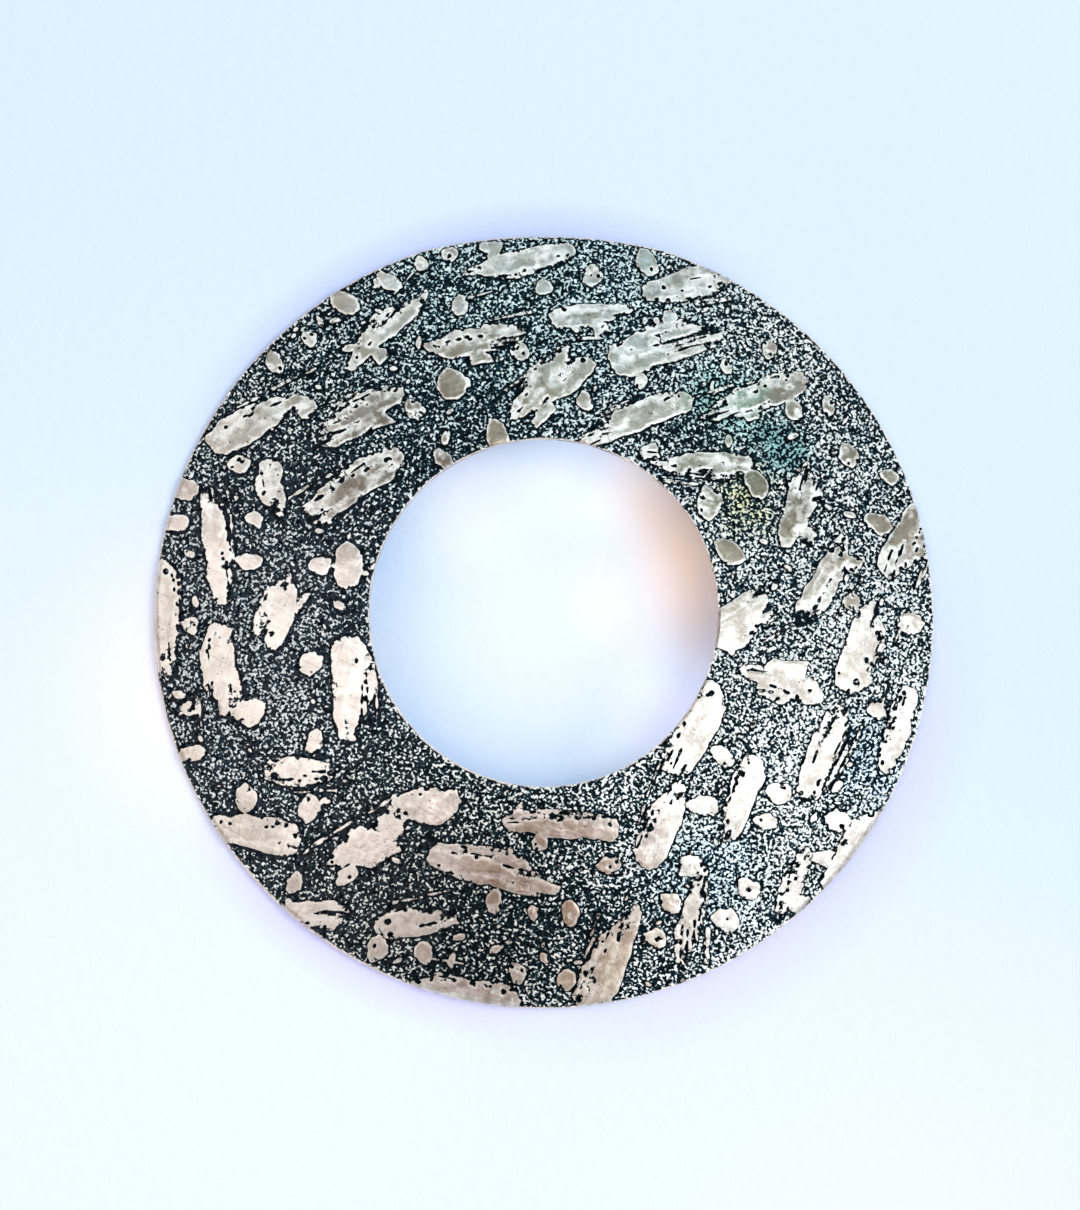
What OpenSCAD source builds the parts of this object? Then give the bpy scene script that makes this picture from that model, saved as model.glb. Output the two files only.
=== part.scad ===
// Ring brooch of etched silver sheet. The sheet is a shallow dome with a round hole in its
// middle. Dabs of bare metal stand above an etched ground on its front. A pin runs behind
// the upper half, from a hinge to a catch that are soldered to the back.
// The origin is the middle of the circle that the rim rests on. +Z faces the front, and +Y
// is the top of the brooch as it is worn.

/* [Sheet] */
// Outside diameter of the ring
ring_d = 60; // [58:1:70]
// Diameter of the hole in the middle
hole_d = 26.5; // [24:0.5:28]
// Height that the back's dome would have without the hole
dome_rise = 5; // [5:0.5:7]
// Thickness of the sheet where a mark leaves it whole
sheet_t = 1; // [0.8:0.1:1.4]
// Depth of the etched ground below the marks
etch_depth = 0.25; // [0.15:0.05:0.35]
// Width of the flat that the rim stands on
foot_w = 0.8; // [0.5:0.1:1.2]
// Bevel along the rim and the edge of the hole
edge_bevel = 0.2; // [0.1:0.05:0.3]
// How much the top of the rim is filed flatter than the circle
filed_flat = 0.35; // [0.1:0.05:0.5]

/* [Marks] */
// Length of a typical stroke
stroke_l = 8; // [5:0.5:9]
// Width of a typical stroke
stroke_w = 2.4; // [1.5:0.1:3]
// Length of a typical dab between the strokes
dab_l = 2; // [1.2:0.1:3]
// Distance between the strokes of one line, middle to middle
stroke_pitch = 9.6; // [8:0.2:12]
// Distance from one line of strokes to the next
line_pitch = 4.9; // [4.5:0.1:7]
// Picks one hand's irregularity
hand_seed = 28; // [1:1:99]

/* [Pin] */
// Distance from the edge of the hole to the pin
pin_inset = 3.2; // [2.8:0.1:3.6]
// Distance of the hinge and the catch from the middle
pin_reach = 14; // [12:0.5:14.5]
// Diameter of the pin's wire
wire_d = 0.8; // [0.6:0.1:0.8]
// Length of the pin's point
point_l = 3; // [2:0.5:4]

/* [Hidden] */
silver = [0.80, 0.77, 0.73];
steel = [0.62, 0.63, 0.65];

ring_r = ring_d / 2;
hole_r = hole_d / 2;
reach = 12; // taller than the ring
foot_r = ring_r - foot_w;
// Spheres that the sheet's surfaces follow, which share one middle
back_r = (foot_r * foot_r + dome_rise * dome_rise) / (2 * dome_rise);
ground_r = back_r + sheet_t - etch_depth;
front_r = back_r + sheet_t;
dome_z = dome_rise - back_r;
// Height of a sphere's surface above the table, at a distance from the axis
function height_at(sphere_r, r) = sqrt(sphere_r * sphere_r - r * r) + dome_z;

// Each sweep of the brush: the part of the ring that it covers, by bearing, how its strokes
// run, and how its lines are shifted
SWEEPS = [ // from, to, direction, shift along, shift across
    [-80, 27, 69, 1.5, 0.6],
    [27, 106, 17, 0.4, 2.3],
    [106, 153, 37, -2.0, 1.2],
    [153, 203, 92, 0.6, 0.4],
    [203, 280, 171, 1.0, 0.6],
];
// Outline of a stroke, from its loaded end to its dry end
BLADE = [ // place along, share of the half width
    [-1.00, 0.42],
    [-0.88, 0.84],
    [-0.45, 1.00],
    [0.10, 0.97],
    [0.62, 0.84],
    [0.90, 0.58],
    [1.00, 0.20],
];
dab_points = 9;
lines_each_way = 6;

JITTER = rands(-1, 1, 997, hand_seed);
function jitter(i) = JITTER[floor(abs(i)) % len(JITTER)];
function turned(p, a) = [p.x * cos(a) - p.y * sin(a), p.x * sin(a) + p.y * cos(a)];
// Bearing of a point round the ring, counted from where a sweep begins
function bearing(p, from) = (atan2(p.y, p.x) - from + 720) % 360;
// Distance from a point to a stroke's middle line
function gap_to(p, s) =
    let (d = turned(p - s[0], -s[1]), past = max(abs(d.x) - s[2] / 2, 0))
    norm([past, d.y]);
// Whether two strokes would run into each other
function clash(a, b) =
    min([for (t = [-0.5 : 0.25 : 0.5]) gap_to(a[0] + turned([t * a[2], 0], a[1]), b)])
    < 0.5 * (a[3] + b[3]) + 0.2;

// Every stroke that the sweeps could hold: place, direction, length, width, number, sweep
LAID = [
    for (k = [0 : len(SWEEPS) - 1], line = [-lines_each_way : lines_each_way], step = [-4 : 4])
        let (
            s = SWEEPS[k],
            id = 211 * k + 31 * (line + 7) + 7 * (step + 5),
            stagger = line % 2 == 0 ? 0 : 0.5,
            along = (step + stagger) * stroke_pitch + s[3] + 1.3 * jitter(id),
            across = line * line_pitch + s[4] + 0.55 * jitter(id + 1),
            p = turned([along, across], s[2]),
            r = norm(p)
        )
        if (bearing(p, s[0]) < s[1] - s[0] && r > hole_r + 0.6 && r < ring_r - 0.2)
            [p, s[2] + 7 * jitter(id + 2), stroke_l * (1 + 0.28 * jitter(id + 3)),
             stroke_w * (1 + 0.25 * jitter(id + 4)), id, k]
];
function is_free(a) = len([for (b = LAID) if (b[5] < a[5] && clash(a, b)) b]) == 0;
function cut_short(a) = [a[0], a[1], 0.5 * a[2], 0.85 * a[3], a[4], a[5]];
// Where two sweeps meet, a stroke that would run into an earlier sweep's is made shorter, or
// left out
STROKES = [for (a = LAID) if (is_free(a)) a else if (is_free(cut_short(a))) cut_short(a)];
// Dabs lie across the strokes, in the lanes between their lines
DABS = [
    for (k = [0 : len(SWEEPS) - 1], line = [-lines_each_way : lines_each_way], step = [-9 : 9])
        let (
            s = SWEEPS[k],
            id = 157 * k + 43 * (line + 7) + 11 * (step + 10),
            along = step * stroke_pitch / 2.6 + s[3] + 0.9 * jitter(id),
            across = (line + 0.5) * line_pitch + s[4] + 0.6 * jitter(id + 5),
            p = turned([along, across], s[2]),
            r = norm(p),
            l = dab_l * (1 + 0.45 * jitter(id + 6)),
            room = min([for (t = STROKES) gap_to(p, t) - t[3] / 2])
        )
        if (bearing(p, s[0]) < s[1] - s[0] && r > hole_r + 0.5 && r < ring_r - 0.4
            && room > l * 0.22 && jitter(id + 12) > -0.75)
            [p, s[2] + 90 + 18 * jitter(id + 7), l, l * (0.55 + 0.12 * jitter(id + 8)), id]
];

module stroke(s) {
    flip = jitter(s[4] + 9) < 0 ? -1 : 1;
    bow = 0.12 * jitter(s[4] + 10) * s[3];
    spine = [for (b = BLADE) [b[0] * flip * s[2] / 2, bow * (1 - b[0] * b[0])]];
    half = [for (b = BLADE) b[1] * s[3] / 2];
    last = len(BLADE) - 1;
    translate(s[0]) rotate(s[1]) polygon(concat(
        [for (i = [0 : last]) spine[i] + [0, half[i] * (1 + 0.18 * jitter(s[4] + 11 + i))]],
        [for (i = [last : -1 : 0]) spine[i] - [0, half[i] * (1 + 0.18 * jitter(s[4] + 30 + i))]]
    ));
}

module dab(d) {
    translate(d[0]) rotate(d[1]) polygon([
        for (i = [0 : dab_points - 1])
            let (a = i * 360 / dab_points, wave = 1 + 0.12 * jitter(d[4] + 50 + i))
            [cos(a) * d[2] / 2, sin(a) * (1 - 0.25 * cos(a)) * d[3] / 2] * wave
    ]);
}

// The dome between two spheres, wider than the ring
module dome_shell(inner_r, outer_r) {
    intersection() {
        translate([0, 0, dome_z]) difference() {
            sphere(outer_r, $fn = 240);
            sphere(inner_r, $fn = 240);
        }
        translate([0, 0, -2]) cylinder(h = reach, r = ring_r + 2, $fn = 240);
    }
}

// A round blank of the given radius, bevelled round its upper edge
module blank(r) {
    edge_z = height_at(front_r, ring_r) - edge_bevel;
    roof = 8;
    rotate_extrude($fn = 240)
        polygon([[0, 0], [r, 0], [r, edge_z], [r - roof, edge_z + roof], [0, edge_z + roof]]);
}

// What the saw takes out of the middle, with the bevel round it
module hole_cut() {
    edge_z = height_at(front_r, hole_r) - edge_bevel;
    rise = 4;
    rotate_extrude($fn = 240)
        polygon([[0, -1], [hole_r, -1], [hole_r, edge_z], [hole_r + rise, edge_z + rise],
                 [0, edge_z + rise]]);
}

module cut_to_outline() {
    flat_r = ring_r * 4 / 3;
    difference() {
        intersection() {
            children();
            blank(ring_r);
            translate([0, ring_r - filed_flat - flat_r, 0]) blank(flat_r);
        }
        hole_cut();
    }
}

pin_y = hole_r + pin_inset;
running_gap = 0.05;
clear_of_table = 0.25;
// Catch, seen along the pin: a hook round the wire, open to one side
hook_bore_r = wire_d / 2 + 0.1;
hook_wall = 0.35;
hook_r = hook_bore_r + hook_wall;
hook_l = 1.4;
neck_w = 0.8;
pin_z = clear_of_table + hook_r;
// Hinge: two cheeks beside the pin's eye, and the rivet that it turns on
eye_d = 1.5;
eye_t = wire_d + 0.1;
cheek_t = 0.5;
cheek_w = 1.7;
rivet_d = 0.6;
rivet_head = 0.15;

// Puts something drawn along X at a distance from the middle, on the pin's line
module on_pin_line(x) {
    translate([x, pin_y, pin_z]) children();
}

// Keeps what lies below the back, and as much above it as the solder joins
module soldered() {
    intersection() {
        children();
        translate([0, 0, dome_z]) sphere(back_r + sheet_t / 3, $fn = 240);
    }
}

module hinge() {
    outer = eye_t / 2 + running_gap + cheek_t;
    on_pin_line(-pin_reach) rotate([90, 0, 0]) {
        for (side = [-1, 1]) translate([0, 0, side * (outer - cheek_t / 2)])
            linear_extrude(cheek_t, center = true) {
                circle(d = cheek_w, $fn = 48);
                translate([-cheek_w / 2, 0]) square([cheek_w, reach]);
            }
        cylinder(h = 2 * (outer + rivet_head), d = rivet_d, center = true, $fn = 32);
    }
}

module catch_hook() {
    on_pin_line(pin_reach - hook_l / 2) rotate([90, 0, 90]) linear_extrude(hook_l)
        difference() {
            union() {
                circle(r = hook_r, $fn = 48);
                translate([-neck_w / 2, 0]) square([neck_w, reach]);
            }
            circle(r = hook_bore_r, $fn = 48);
            translate([-hook_r - 1, -wire_d / 2]) square([hook_r + 1, wire_d]);
        }
}

module etched_ring() {
    overlap = 0.2; // the marks run this far into the ground
    color(silver) union() {
        cut_to_outline() union() {
            dome_shell(back_r, ground_r);
            intersection() {
                linear_extrude(reach) {
                    for (s = STROKES) stroke(s);
                    for (d = DABS) dab(d);
                }
                dome_shell(ground_r - overlap, front_r);
            }
        }
        soldered() {
            hinge();
            catch_hook();
        }
    }
}

module pin_wire() {
    shank_l = 2 * pin_reach - hook_l / 2;
    tip_r = 0.08;
    color(steel) difference() {
        on_pin_line(-pin_reach) {
            rotate([90, 0, 0]) cylinder(h = eye_t, d = eye_d, center = true, $fn = 48);
            rotate([0, 90, 0]) rotate_extrude($fn = 48) polygon([
                [0, 0],
                [wire_d / 2, 0],
                [wire_d / 2, shank_l],
                [tip_r, shank_l + point_l],
                [0, shank_l + point_l],
            ]);
        }
        on_pin_line(-pin_reach) rotate([90, 0, 0])
            cylinder(h = 3, d = rivet_d + 2 * running_gap, center = true, $fn = 48);
    }
}

etched_ring();
pin_wire();
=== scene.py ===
# %% [markdown]
# # An etched silver ring brooch
# The brooch is a ring of 1 mm silver sheet, about 60 mm across and raised into a shallow dome. A
# brush laid strokes of varnish on it, and acid then ate the bare metal between them. The strokes
# stand up as smooth islands. The eaten ground round them is rough and blackened, and its highest
# grains are rubbed bright again.
#
# The CAD frame holds the true sizes and the plain shape of every stroke. This script reads both
# from the frame, roughens the strokes as a dry brush and the acid would, and gives each surface
# its finish. The frame comes first, because nothing made later may leave its box.

# %% Load the fixed frame
import math
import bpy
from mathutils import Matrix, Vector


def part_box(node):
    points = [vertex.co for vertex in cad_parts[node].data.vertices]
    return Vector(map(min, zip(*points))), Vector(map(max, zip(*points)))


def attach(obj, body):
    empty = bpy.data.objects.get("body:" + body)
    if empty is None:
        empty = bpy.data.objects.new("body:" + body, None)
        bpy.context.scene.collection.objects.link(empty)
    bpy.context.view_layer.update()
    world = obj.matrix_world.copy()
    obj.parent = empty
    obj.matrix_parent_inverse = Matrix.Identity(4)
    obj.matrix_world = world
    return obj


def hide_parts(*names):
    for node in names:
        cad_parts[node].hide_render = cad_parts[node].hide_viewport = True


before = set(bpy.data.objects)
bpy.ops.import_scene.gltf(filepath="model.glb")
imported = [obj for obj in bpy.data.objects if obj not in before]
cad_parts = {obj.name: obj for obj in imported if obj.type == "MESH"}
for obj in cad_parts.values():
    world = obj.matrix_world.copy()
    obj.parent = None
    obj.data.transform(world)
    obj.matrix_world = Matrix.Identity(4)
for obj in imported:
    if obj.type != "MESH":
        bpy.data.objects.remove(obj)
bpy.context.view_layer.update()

from types import SimpleNamespace

import bmesh
import bpy
import numpy as np
from mathutils import Vector
from mathutils.geometry import delaunay_2d_cdt

MM = 0.001  # lengths below are in millimetres until they go into Blender, which counts in metres

# %% [markdown]
# ## Measuring the ring
# A new surface has to lie where the CAD ring lies, so its sizes are measured and not typed in.
# The front, the etched ground and the back are parts of three spheres with one middle. A sphere
# round a point on the axis obeys x² + y² + z² = 2·z·middle + constant, which is a straight line
# in z, so a least squares fit to the back's corners gives the middle and the radius at once.

# %% Read the ring's corners and triangles
SAME_PLACE = 0.002  # corners closer than this are one


def shared_corners(mesh):
    """The corners, in millimetres, and triangles of a mesh, with equal corners joined."""
    copy = bmesh.new()
    copy.from_mesh(mesh)
    bmesh.ops.remove_doubles(copy, verts=copy.verts, dist=SAME_PLACE * MM)
    copy.verts.index_update()
    corners = np.array([vert.co[:] for vert in copy.verts]) / MM
    triangles = np.array([[vert.index for vert in face.verts] for face in copy.faces])
    copy.free()
    return corners, triangles


def corners_of(points, triangles):
    """The first, second and third corner of every triangle."""
    return (points[triangles[:, k]] for k in range(3))


def facing(points, triangles):
    """Each triangle's unit normal and middle."""
    a, b, c = corners_of(points, triangles)
    normals = np.cross(b - a, c - a)
    normals /= np.linalg.norm(normals, axis=1)[:, None] + 1e-12
    return normals, (a + b + c) / 3


def radius_of(points):
    """How far each point is from the ring's axis."""
    return np.hypot(points[:, 0], points[:, 1])


def bearing_of(points):
    """The direction of each point from the ring's axis, as an angle."""
    return np.arctan2(points[:, 1], points[:, 0])


corners, triangles = shared_corners(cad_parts["etched_ring"].data)
normals, middles = facing(corners, triangles)
corner_r = radius_of(corners)
print(len(corners), "corners and", len(triangles), "triangles in the CAD ring")

# %% Fit the spheres
BELOW_FITTINGS = 10  # the hinge and the catch are behind the upper half, past this y
LEVEL_SPREAD = 0.06  # how far a sphere's corners stray from its radius
LEVEL = 0.5  # a normal whose z is past this, up or down, belongs to a face and not to a wall
OFF_TABLE = 0.1  # higher than this, a downward triangle is on the back and not on the foot

plain_back = ((normals[:, 2] < -LEVEL) & (middles[:, 2] > OFF_TABLE)
              & (middles[:, 1] < BELOW_FITTINGS))
back = corners[np.unique(triangles[plain_back])]
terms = np.column_stack([2 * back[:, 2], np.ones(len(back))])
(dome_z, constant), *_ = np.linalg.lstsq(terms, (back**2).sum(axis=1), rcond=None)
back_r = math.sqrt(constant + dome_z**2)

from_middle = np.linalg.norm(corners - (0, 0, dome_z), axis=1)
tops = from_middle[np.unique(triangles[normals[:, 2] > LEVEL])]
levels, counts = np.unique(np.round(tops, 1), return_counts=True)
ground_r, front_r = sorted(float(np.median(tops[np.abs(tops - level) < LEVEL_SPREAD]))
                           for level in levels[np.argsort(counts)[-2:]])
print(f"middle of the spheres {dome_z:.3f}, back {back_r:.3f}, "
      f"ground {ground_r:.3f}, front {front_r:.3f} mm")

# %% Measure the outline and the hole
AT_EDGE = 0.003  # a corner this near the outline or the hole is on it

ring_r, hole_r = corner_r.max(), corner_r.min()
foot = corners[(corners[:, 2] < 0.01) & (corner_r > 0.98 * ring_r)]
foot = foot[np.argsort(bearing_of(foot))]
foot_bearings, foot_radii = bearing_of(foot), radius_of(foot)


def rim_at(bearing):
    """How far the ring's outer edge is from the axis; one side was filed a little flat."""
    return np.interp(bearing, foot_bearings, foot_radii, period=2 * math.pi)


def inside_rim(points):
    """How far each point is inside the ring's outer edge."""
    return rim_at(bearing_of(points)) - radius_of(points)


rim_top = corners[inside_rim(corners) < AT_EDGE, 2].max()
hole_top = corners[corner_r < hole_r + AT_EDGE, 2].max()
print(f"radius {ring_r:.2f}, hole {hole_r:.2f}, edge heights {rim_top:.3f} and {hole_top:.3f} mm")

# %% [markdown]
# ## The outlines of the brush marks
# On the real brooch each mark is metal that the varnish saved, so its top is part of the front
# sphere. In the CAD mesh the same is true: a triangle whose corners all lie on the front sphere
# is part of a mark, and an edge that only one such triangle has is part of its outline. Joining
# those edges end to end gives each mark's outline, seen from above. The bevel of the ring's edge
# cuts some marks short, and those are led on past the edge, so that they run over the bevel.

# %% Find the marks in the CAD mesh
def sides_of(faces):
    """The three sides of every triangle, as pairs of corners."""
    return np.concatenate([faces[:, [0, 1]], faces[:, [1, 2]], faces[:, [2, 0]]])


def edge_loops(faces):
    """The edges that only one triangle has, joined end to end into closed loops."""
    edges = sides_of(faces)
    _, first, count = np.unique(
        np.sort(edges, axis=1), axis=0, return_index=True, return_counts=True)
    following = {}
    for start, end in edges[first[count == 1]].tolist():
        following.setdefault(start, []).append(end)
    loops = []
    while following:
        start = here = next(iter(following))
        loop = []
        while here in following:
            loop.append(here)
            ends = following[here]
            onward = ends.pop()
            if not ends:
                del following[here]
            here = onward
            if here == start:
                break
        loops.append(loop)
    return loops


CUT_AT_RIM, CUT_AT_HOLE = 0.34, 0.21  # a corner nearer the edge than this lies on the bevel
PAST_RIM, PAST_HOLE = 31.2, 12.2  # radii well beyond the ring's two edges
ON_SPHERE = 0.004


def past_the_bevel(loop):
    """A mark's outline, led on past the ring's edge wherever the bevel cuts it."""
    r = radius_of(loop)
    outer, inner = inside_rim(loop) < CUT_AT_RIM, r - hole_r < CUT_AT_HOLE
    pushed = loop * (np.where(outer, PAST_RIM, np.where(inner, PAST_HOLE, r)) / r)[:, None]
    cut = outer | inner
    points = []
    for k in range(len(loop)):
        if not cut[k] or not cut[k - 1]:
            points.append(loop[k])
        if cut[k]:
            points.append(pushed[k])
            if not cut[(k + 1) % len(loop)]:
                points.append(loop[k])
    return np.array(points)


on_front = np.abs(from_middle - front_r) < ON_SPHERE
mark_loops = [past_the_bevel(corners[loop, :2])
              for loop in edge_loops(triangles[on_front[triangles].all(axis=1)])]
mark_loops = [loop for loop in mark_loops if len(loop) > 3]
print(len(mark_loops), "marks, with", sum(map(len, mark_loops)), "corners")

# %% [markdown]
# ## Roughening the marks
# A dry brush doesn't leave a clean shape. Its long sides wander, its far end breaks into
# bristle lines, loose hairs leave strands beside it, and the acid bites round pits through
# weak varnish. Moving outline points cannot add a pit or split an end, so the marks are first
# turned into a field: a fine grid of numbers that is above zero inside a mark and below zero
# outside, counted in millimetres from the outline. Adding noise to such a field bends the
# outline, and taking the smaller or larger of two fields cuts or joins shapes.

# %% A noise whose value at a place never changes
def noise(x, y, size, seed):
    """Smooth values from -1 to 1 whose blobs are about `size` wide."""
    gx, gy = x / size, y / size
    ix, iy = np.floor(gx).astype(np.int64), np.floor(gy).astype(np.int64)
    fx, fy = gx - ix, gy - iy
    fx, fy = fx * fx * (3 - 2 * fx), fy * fy * (3 - 2 * fy)

    def corner(i, j):
        mixed = (i * 374761393 + j * 668265263 + seed * 974711) & 0xFFFFFFFF
        mixed = ((mixed ^ (mixed >> 13)) * 1274126177) & 0xFFFFFFFF
        return (mixed ^ (mixed >> 16)) / 2.0**31 - 1

    low = corner(ix, iy) * (1 - fx) + corner(ix + 1, iy) * fx
    high = corner(ix, iy + 1) * (1 - fx) + corner(ix + 1, iy + 1) * fx
    return low * (1 - fy) + high * fy


def smooth(low, high, value):
    """0 below `low`, 1 above `high`, and a smooth curve between them."""
    t = np.clip((value - low) / (high - low), 0, 1)
    return t * t * (3 - 2 * t)


# %% The grid, and the distance to an outline
STEP = 0.07  # between grid points
HALF_GRID = 31.0  # the grid reaches this far each way from the axis
FAR = 3.0  # where there is no mark, the field says that the nearest is this far away
grid_axis = np.arange(-HALF_GRID, HALF_GRID + STEP / 2, STEP)
field = np.full((len(grid_axis), len(grid_axis)), -FAR)


def window(low, high):
    """The part of the grid between two corners: its place in the field, and its x and y."""
    i, j = np.clip(((low + HALF_GRID) / STEP).astype(int), 0, len(grid_axis) - 1)
    k, m = np.clip(((high + HALF_GRID) / STEP).astype(int) + 2, 1, len(grid_axis))
    x, y = np.meshgrid(grid_axis[i:k], grid_axis[j:m])
    return (slice(j, m), slice(i, k)), x, y


def inside_by(x, y, loop):
    """How far each point is inside a closed outline, in millimetres; below zero outside."""
    px, py = x.reshape(-1, 1), y.reshape(-1, 1)
    (ax, ay), (bx, by) = loop.T, np.roll(loop, -1, axis=0).T
    ex, ey = bx - ax, by - ay
    share = np.clip(((px - ax) * ex + (py - ay) * ey) / (ex**2 + ey**2 + 1e-12), 0, 1)
    near = np.sqrt(((px - ax - share * ex) ** 2 + (py - ay - share * ey) ** 2).min(axis=1))
    crosses = ((ay > py) != (by > py)) & (px < ex * (py - ay) / (ey + 1e-12 * (ey == 0)) + ax)
    return np.where(crosses.sum(axis=1) % 2 == 1, near, -near).reshape(x.shape)


def turned_to(x, y, middle, along):
    """The same places, measured from a middle along a direction and across it."""
    x, y = x - middle[0], y - middle[1]
    return x * along[0] + y * along[1], y * along[0] - x * along[1]


# %% [markdown]
# Each mark is roughened in its own directions. `u` and `v` say how far a place is along the mark
# and across it. `gone` and `across` say the same from about -1 to 1, and grow the way the brush
# went and towards the mark's ragged side. `clean` is the field before anything is roughened: the
# distance inside the CAD outline, a little widened. `half` and `broad` are half the mark's
# length and width, and `fray` is the noise along its edge.

# %% Pits and bristle lines
chance = np.random.default_rng(28)


def pitted(depth, m, pits, seed):
    """Bites round pits out of a mark, each with its place along and across it and its size."""
    for at_u, at_v, size, stretch in pits:
        pit = np.hypot((m.u - at_u) / stretch, m.v - at_v) - size
        depth = np.minimum(depth, pit + 0.05 * noise(m.u, m.v, 0.24, seed))
    return depth


def streaked(depth, m, streaks, seed):
    """Draws bare bristle lines through a mark, which break up into rows of pits."""
    for number, (from_u, to_u, at_v, width) in enumerate(streaks):
        row = np.full_like(m.u, 9.0 * number)
        sway = 0.12 * noise(m.u, row, 1.6, seed)
        width = width * (0.85 + 0.95 * noise(m.u, row, 0.34, seed + 1))
        beyond = np.abs(m.u - (from_u + to_u) / 2) - abs(to_u - from_u) / 2
        depth = np.minimum(depth, np.maximum(np.abs(m.v - at_v - sway) - width, beyond))
    return depth


# %% A dab, which is one short touch of the brush
def dab(x, y, m):
    """Its field: worn at one end, less at the other, with a few pits."""
    tip = chance.uniform(0.2, 0.9) * smooth(0.0, 1.15, m.gone)
    tip = np.maximum(tip, chance.uniform(0.0, 0.6) * smooth(0.1, 1.2, -m.gone))
    depth = m.clean + 0.08 - m.broad * tip * (0.6 + 0.4 * m.across)
    depth += 0.1 * noise(x, y, 0.8, m.seed + 1)
    pits = [(chance.uniform(-0.8, 0.8) * m.half, chance.uniform(-1, 1) * m.broad,
             chance.uniform(0.06, 0.16), 1.3) for _ in range(int(chance.integers(0, 5)))]
    return pitted(depth + 0.7 * m.fray, m, pits, m.seed + 6)


# %% A stroke, which is one long pull of the brush
def stroke_shape(x, y, m, dryness):
    """Its outline: a point, a heel, a ragged side, and bristle gaps where the brush ran dry."""
    point = chance.uniform(0.5, 1.6) * smooth(-0.1, 1.15, m.gone) ** 1.5  # slants the ragged side
    heel = chance.uniform(0.1, 0.8) * smooth(0.35, 1.2, -m.gone)
    depth = np.minimum(m.clean, m.broad * (1 - m.across - point - heel))
    depth = np.minimum(depth, m.broad * (1 + m.across - 0.5 * smooth(0.6, 1.2, m.gone)
                                         - 0.7 * heel * smooth(0.5, 1.1, -m.gone)))
    smooth_side = smooth(0.1, -0.7, m.across) * smooth(1.0, 0.5, np.abs(m.gone))
    depth += 0.15 * noise(x, y, 1.0, m.seed + 1) + (1 - 0.7 * smooth_side) * m.fray
    gaps = noise(m.u / 2.2, (m.v + 0.1 * noise(x, y, 1.5, m.seed + 4)) / 0.3, 1, m.seed + 5)
    dry = dryness * np.maximum(smooth(0.25, 1.05, m.gone), 0.6 * smooth(0.3, 1.1, m.across))
    return np.minimum(depth, (1.25 - 1.35 * dry - gaps) * 0.16)


def bare_lines(m, dryness):
    """Bristle lines at the dry end, and a few along the ragged side."""
    lines = []
    for _ in range(int(chance.integers(2, 4 + 5 * dryness))):
        far = chance.uniform(0.75, 1.15)
        near = far - chance.uniform(0.25, 1.1) * dryness - 0.15
        lines.append((m.way * m.half * near, m.way * m.half * far,
                      m.side * m.broad * chance.uniform(-0.5, 1.0), chance.uniform(0.055, 0.11)))
    for _ in range(int(chance.integers(0, 3))):
        middle, long = chance.uniform(-0.5, 0.5), chance.uniform(0.15, 0.5)
        lines.append((m.half * (middle - long), m.half * (middle + long),
                      m.side * m.broad * chance.uniform(0.5, 0.85), chance.uniform(0.05, 0.09)))
    return lines


def bites(m):
    """Pits near the ragged side, and larger ones at both ends."""
    pits = [(m.half * chance.uniform(-0.9, 0.95), m.side * m.broad * chance.uniform(0.25, 1.0),
             chance.uniform(0.06, 0.16), chance.uniform(1.0, 1.8))
            for _ in range(int(chance.integers(8, 28)))]
    return pits + [(m.half * chance.uniform(0.6, 1.0) * chance.choice([-1, 1]),
                    m.broad * chance.uniform(-1, 1), 0.06 + 0.2 * chance.random() ** 2,
                    chance.uniform(0.9, 1.5)) for _ in range(int(chance.integers(6, 16)))]


def strands(m):
    """Lines of varnish beside the ragged side, from hairs that stood off from the brush."""
    lines = []
    for _ in range(int(chance.integers(0, 4))):
        middle, long = chance.uniform(-0.2, 1.0), chance.uniform(0.15, 0.45)
        lines.append((m.way * m.half * (middle - long), m.way * m.half * (middle + long),
                      m.side * (m.broad + chance.uniform(0.1, 0.5)), chance.uniform(0.05, 0.1)))
    return lines


def stroke(x, y, m):
    """Its field: the shape, cut by bare lines and pits, with the strands laid beside it."""
    dryness = chance.uniform(0.35, 1.0)
    depth = stroke_shape(x, y, m, dryness)
    depth = streaked(depth, m, bare_lines(m, dryness), m.seed + 11)
    depth = pitted(depth, m, bites(m), m.seed + 10)
    beside = -streaked(np.full_like(m.u, FAR), m, strands(m), m.seed + 13)
    return np.maximum(depth, beside)


# %% Every mark, as the brush and the acid leave it
LONG_MARK = 1.9  # half the length from which a mark counts as a stroke and not a dab
SPREAD = 0.11  # how far the varnish ran out under the brush
ROUND_A_MARK = 1.3  # how far past its outline a mark's field is worked out


def brushed(x, y, loop, seed):
    """The field of one mark, worked out from its own middle, length and direction."""
    spread = loop - loop.mean(axis=0)
    along = np.linalg.eigh(spread.T @ spread)[1][:, 1]
    lengthways = spread @ along
    middle = loop.mean(axis=0) + along * (lengthways.max() + lengthways.min()) / 2
    m = SimpleNamespace(seed=seed, half=(lengthways.max() - lengthways.min()) / 2)
    m.u, m.v = turned_to(x, y, middle, along)
    m.clean = inside_by(x, y, loop) + SPREAD
    m.broad = m.clean.max()
    m.way, m.side = chance.choice([-1, 1], 2)  # the way the brush went, and its ragged side
    m.gone, m.across = m.way * m.u / m.half, m.side * m.v / m.broad  # both about -1 to 1
    wear = 0.5 + 0.5 * noise(x, y, 2.2, seed)
    m.fray = (0.05 + 0.12 * wear) * noise(x, y, 0.42, seed + 2)
    m.fray += (0.05 + 0.09 * wear) * noise(x, y, 0.2, seed + 3)
    return (dab if m.half < LONG_MARK else stroke)(x, y, m)


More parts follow.
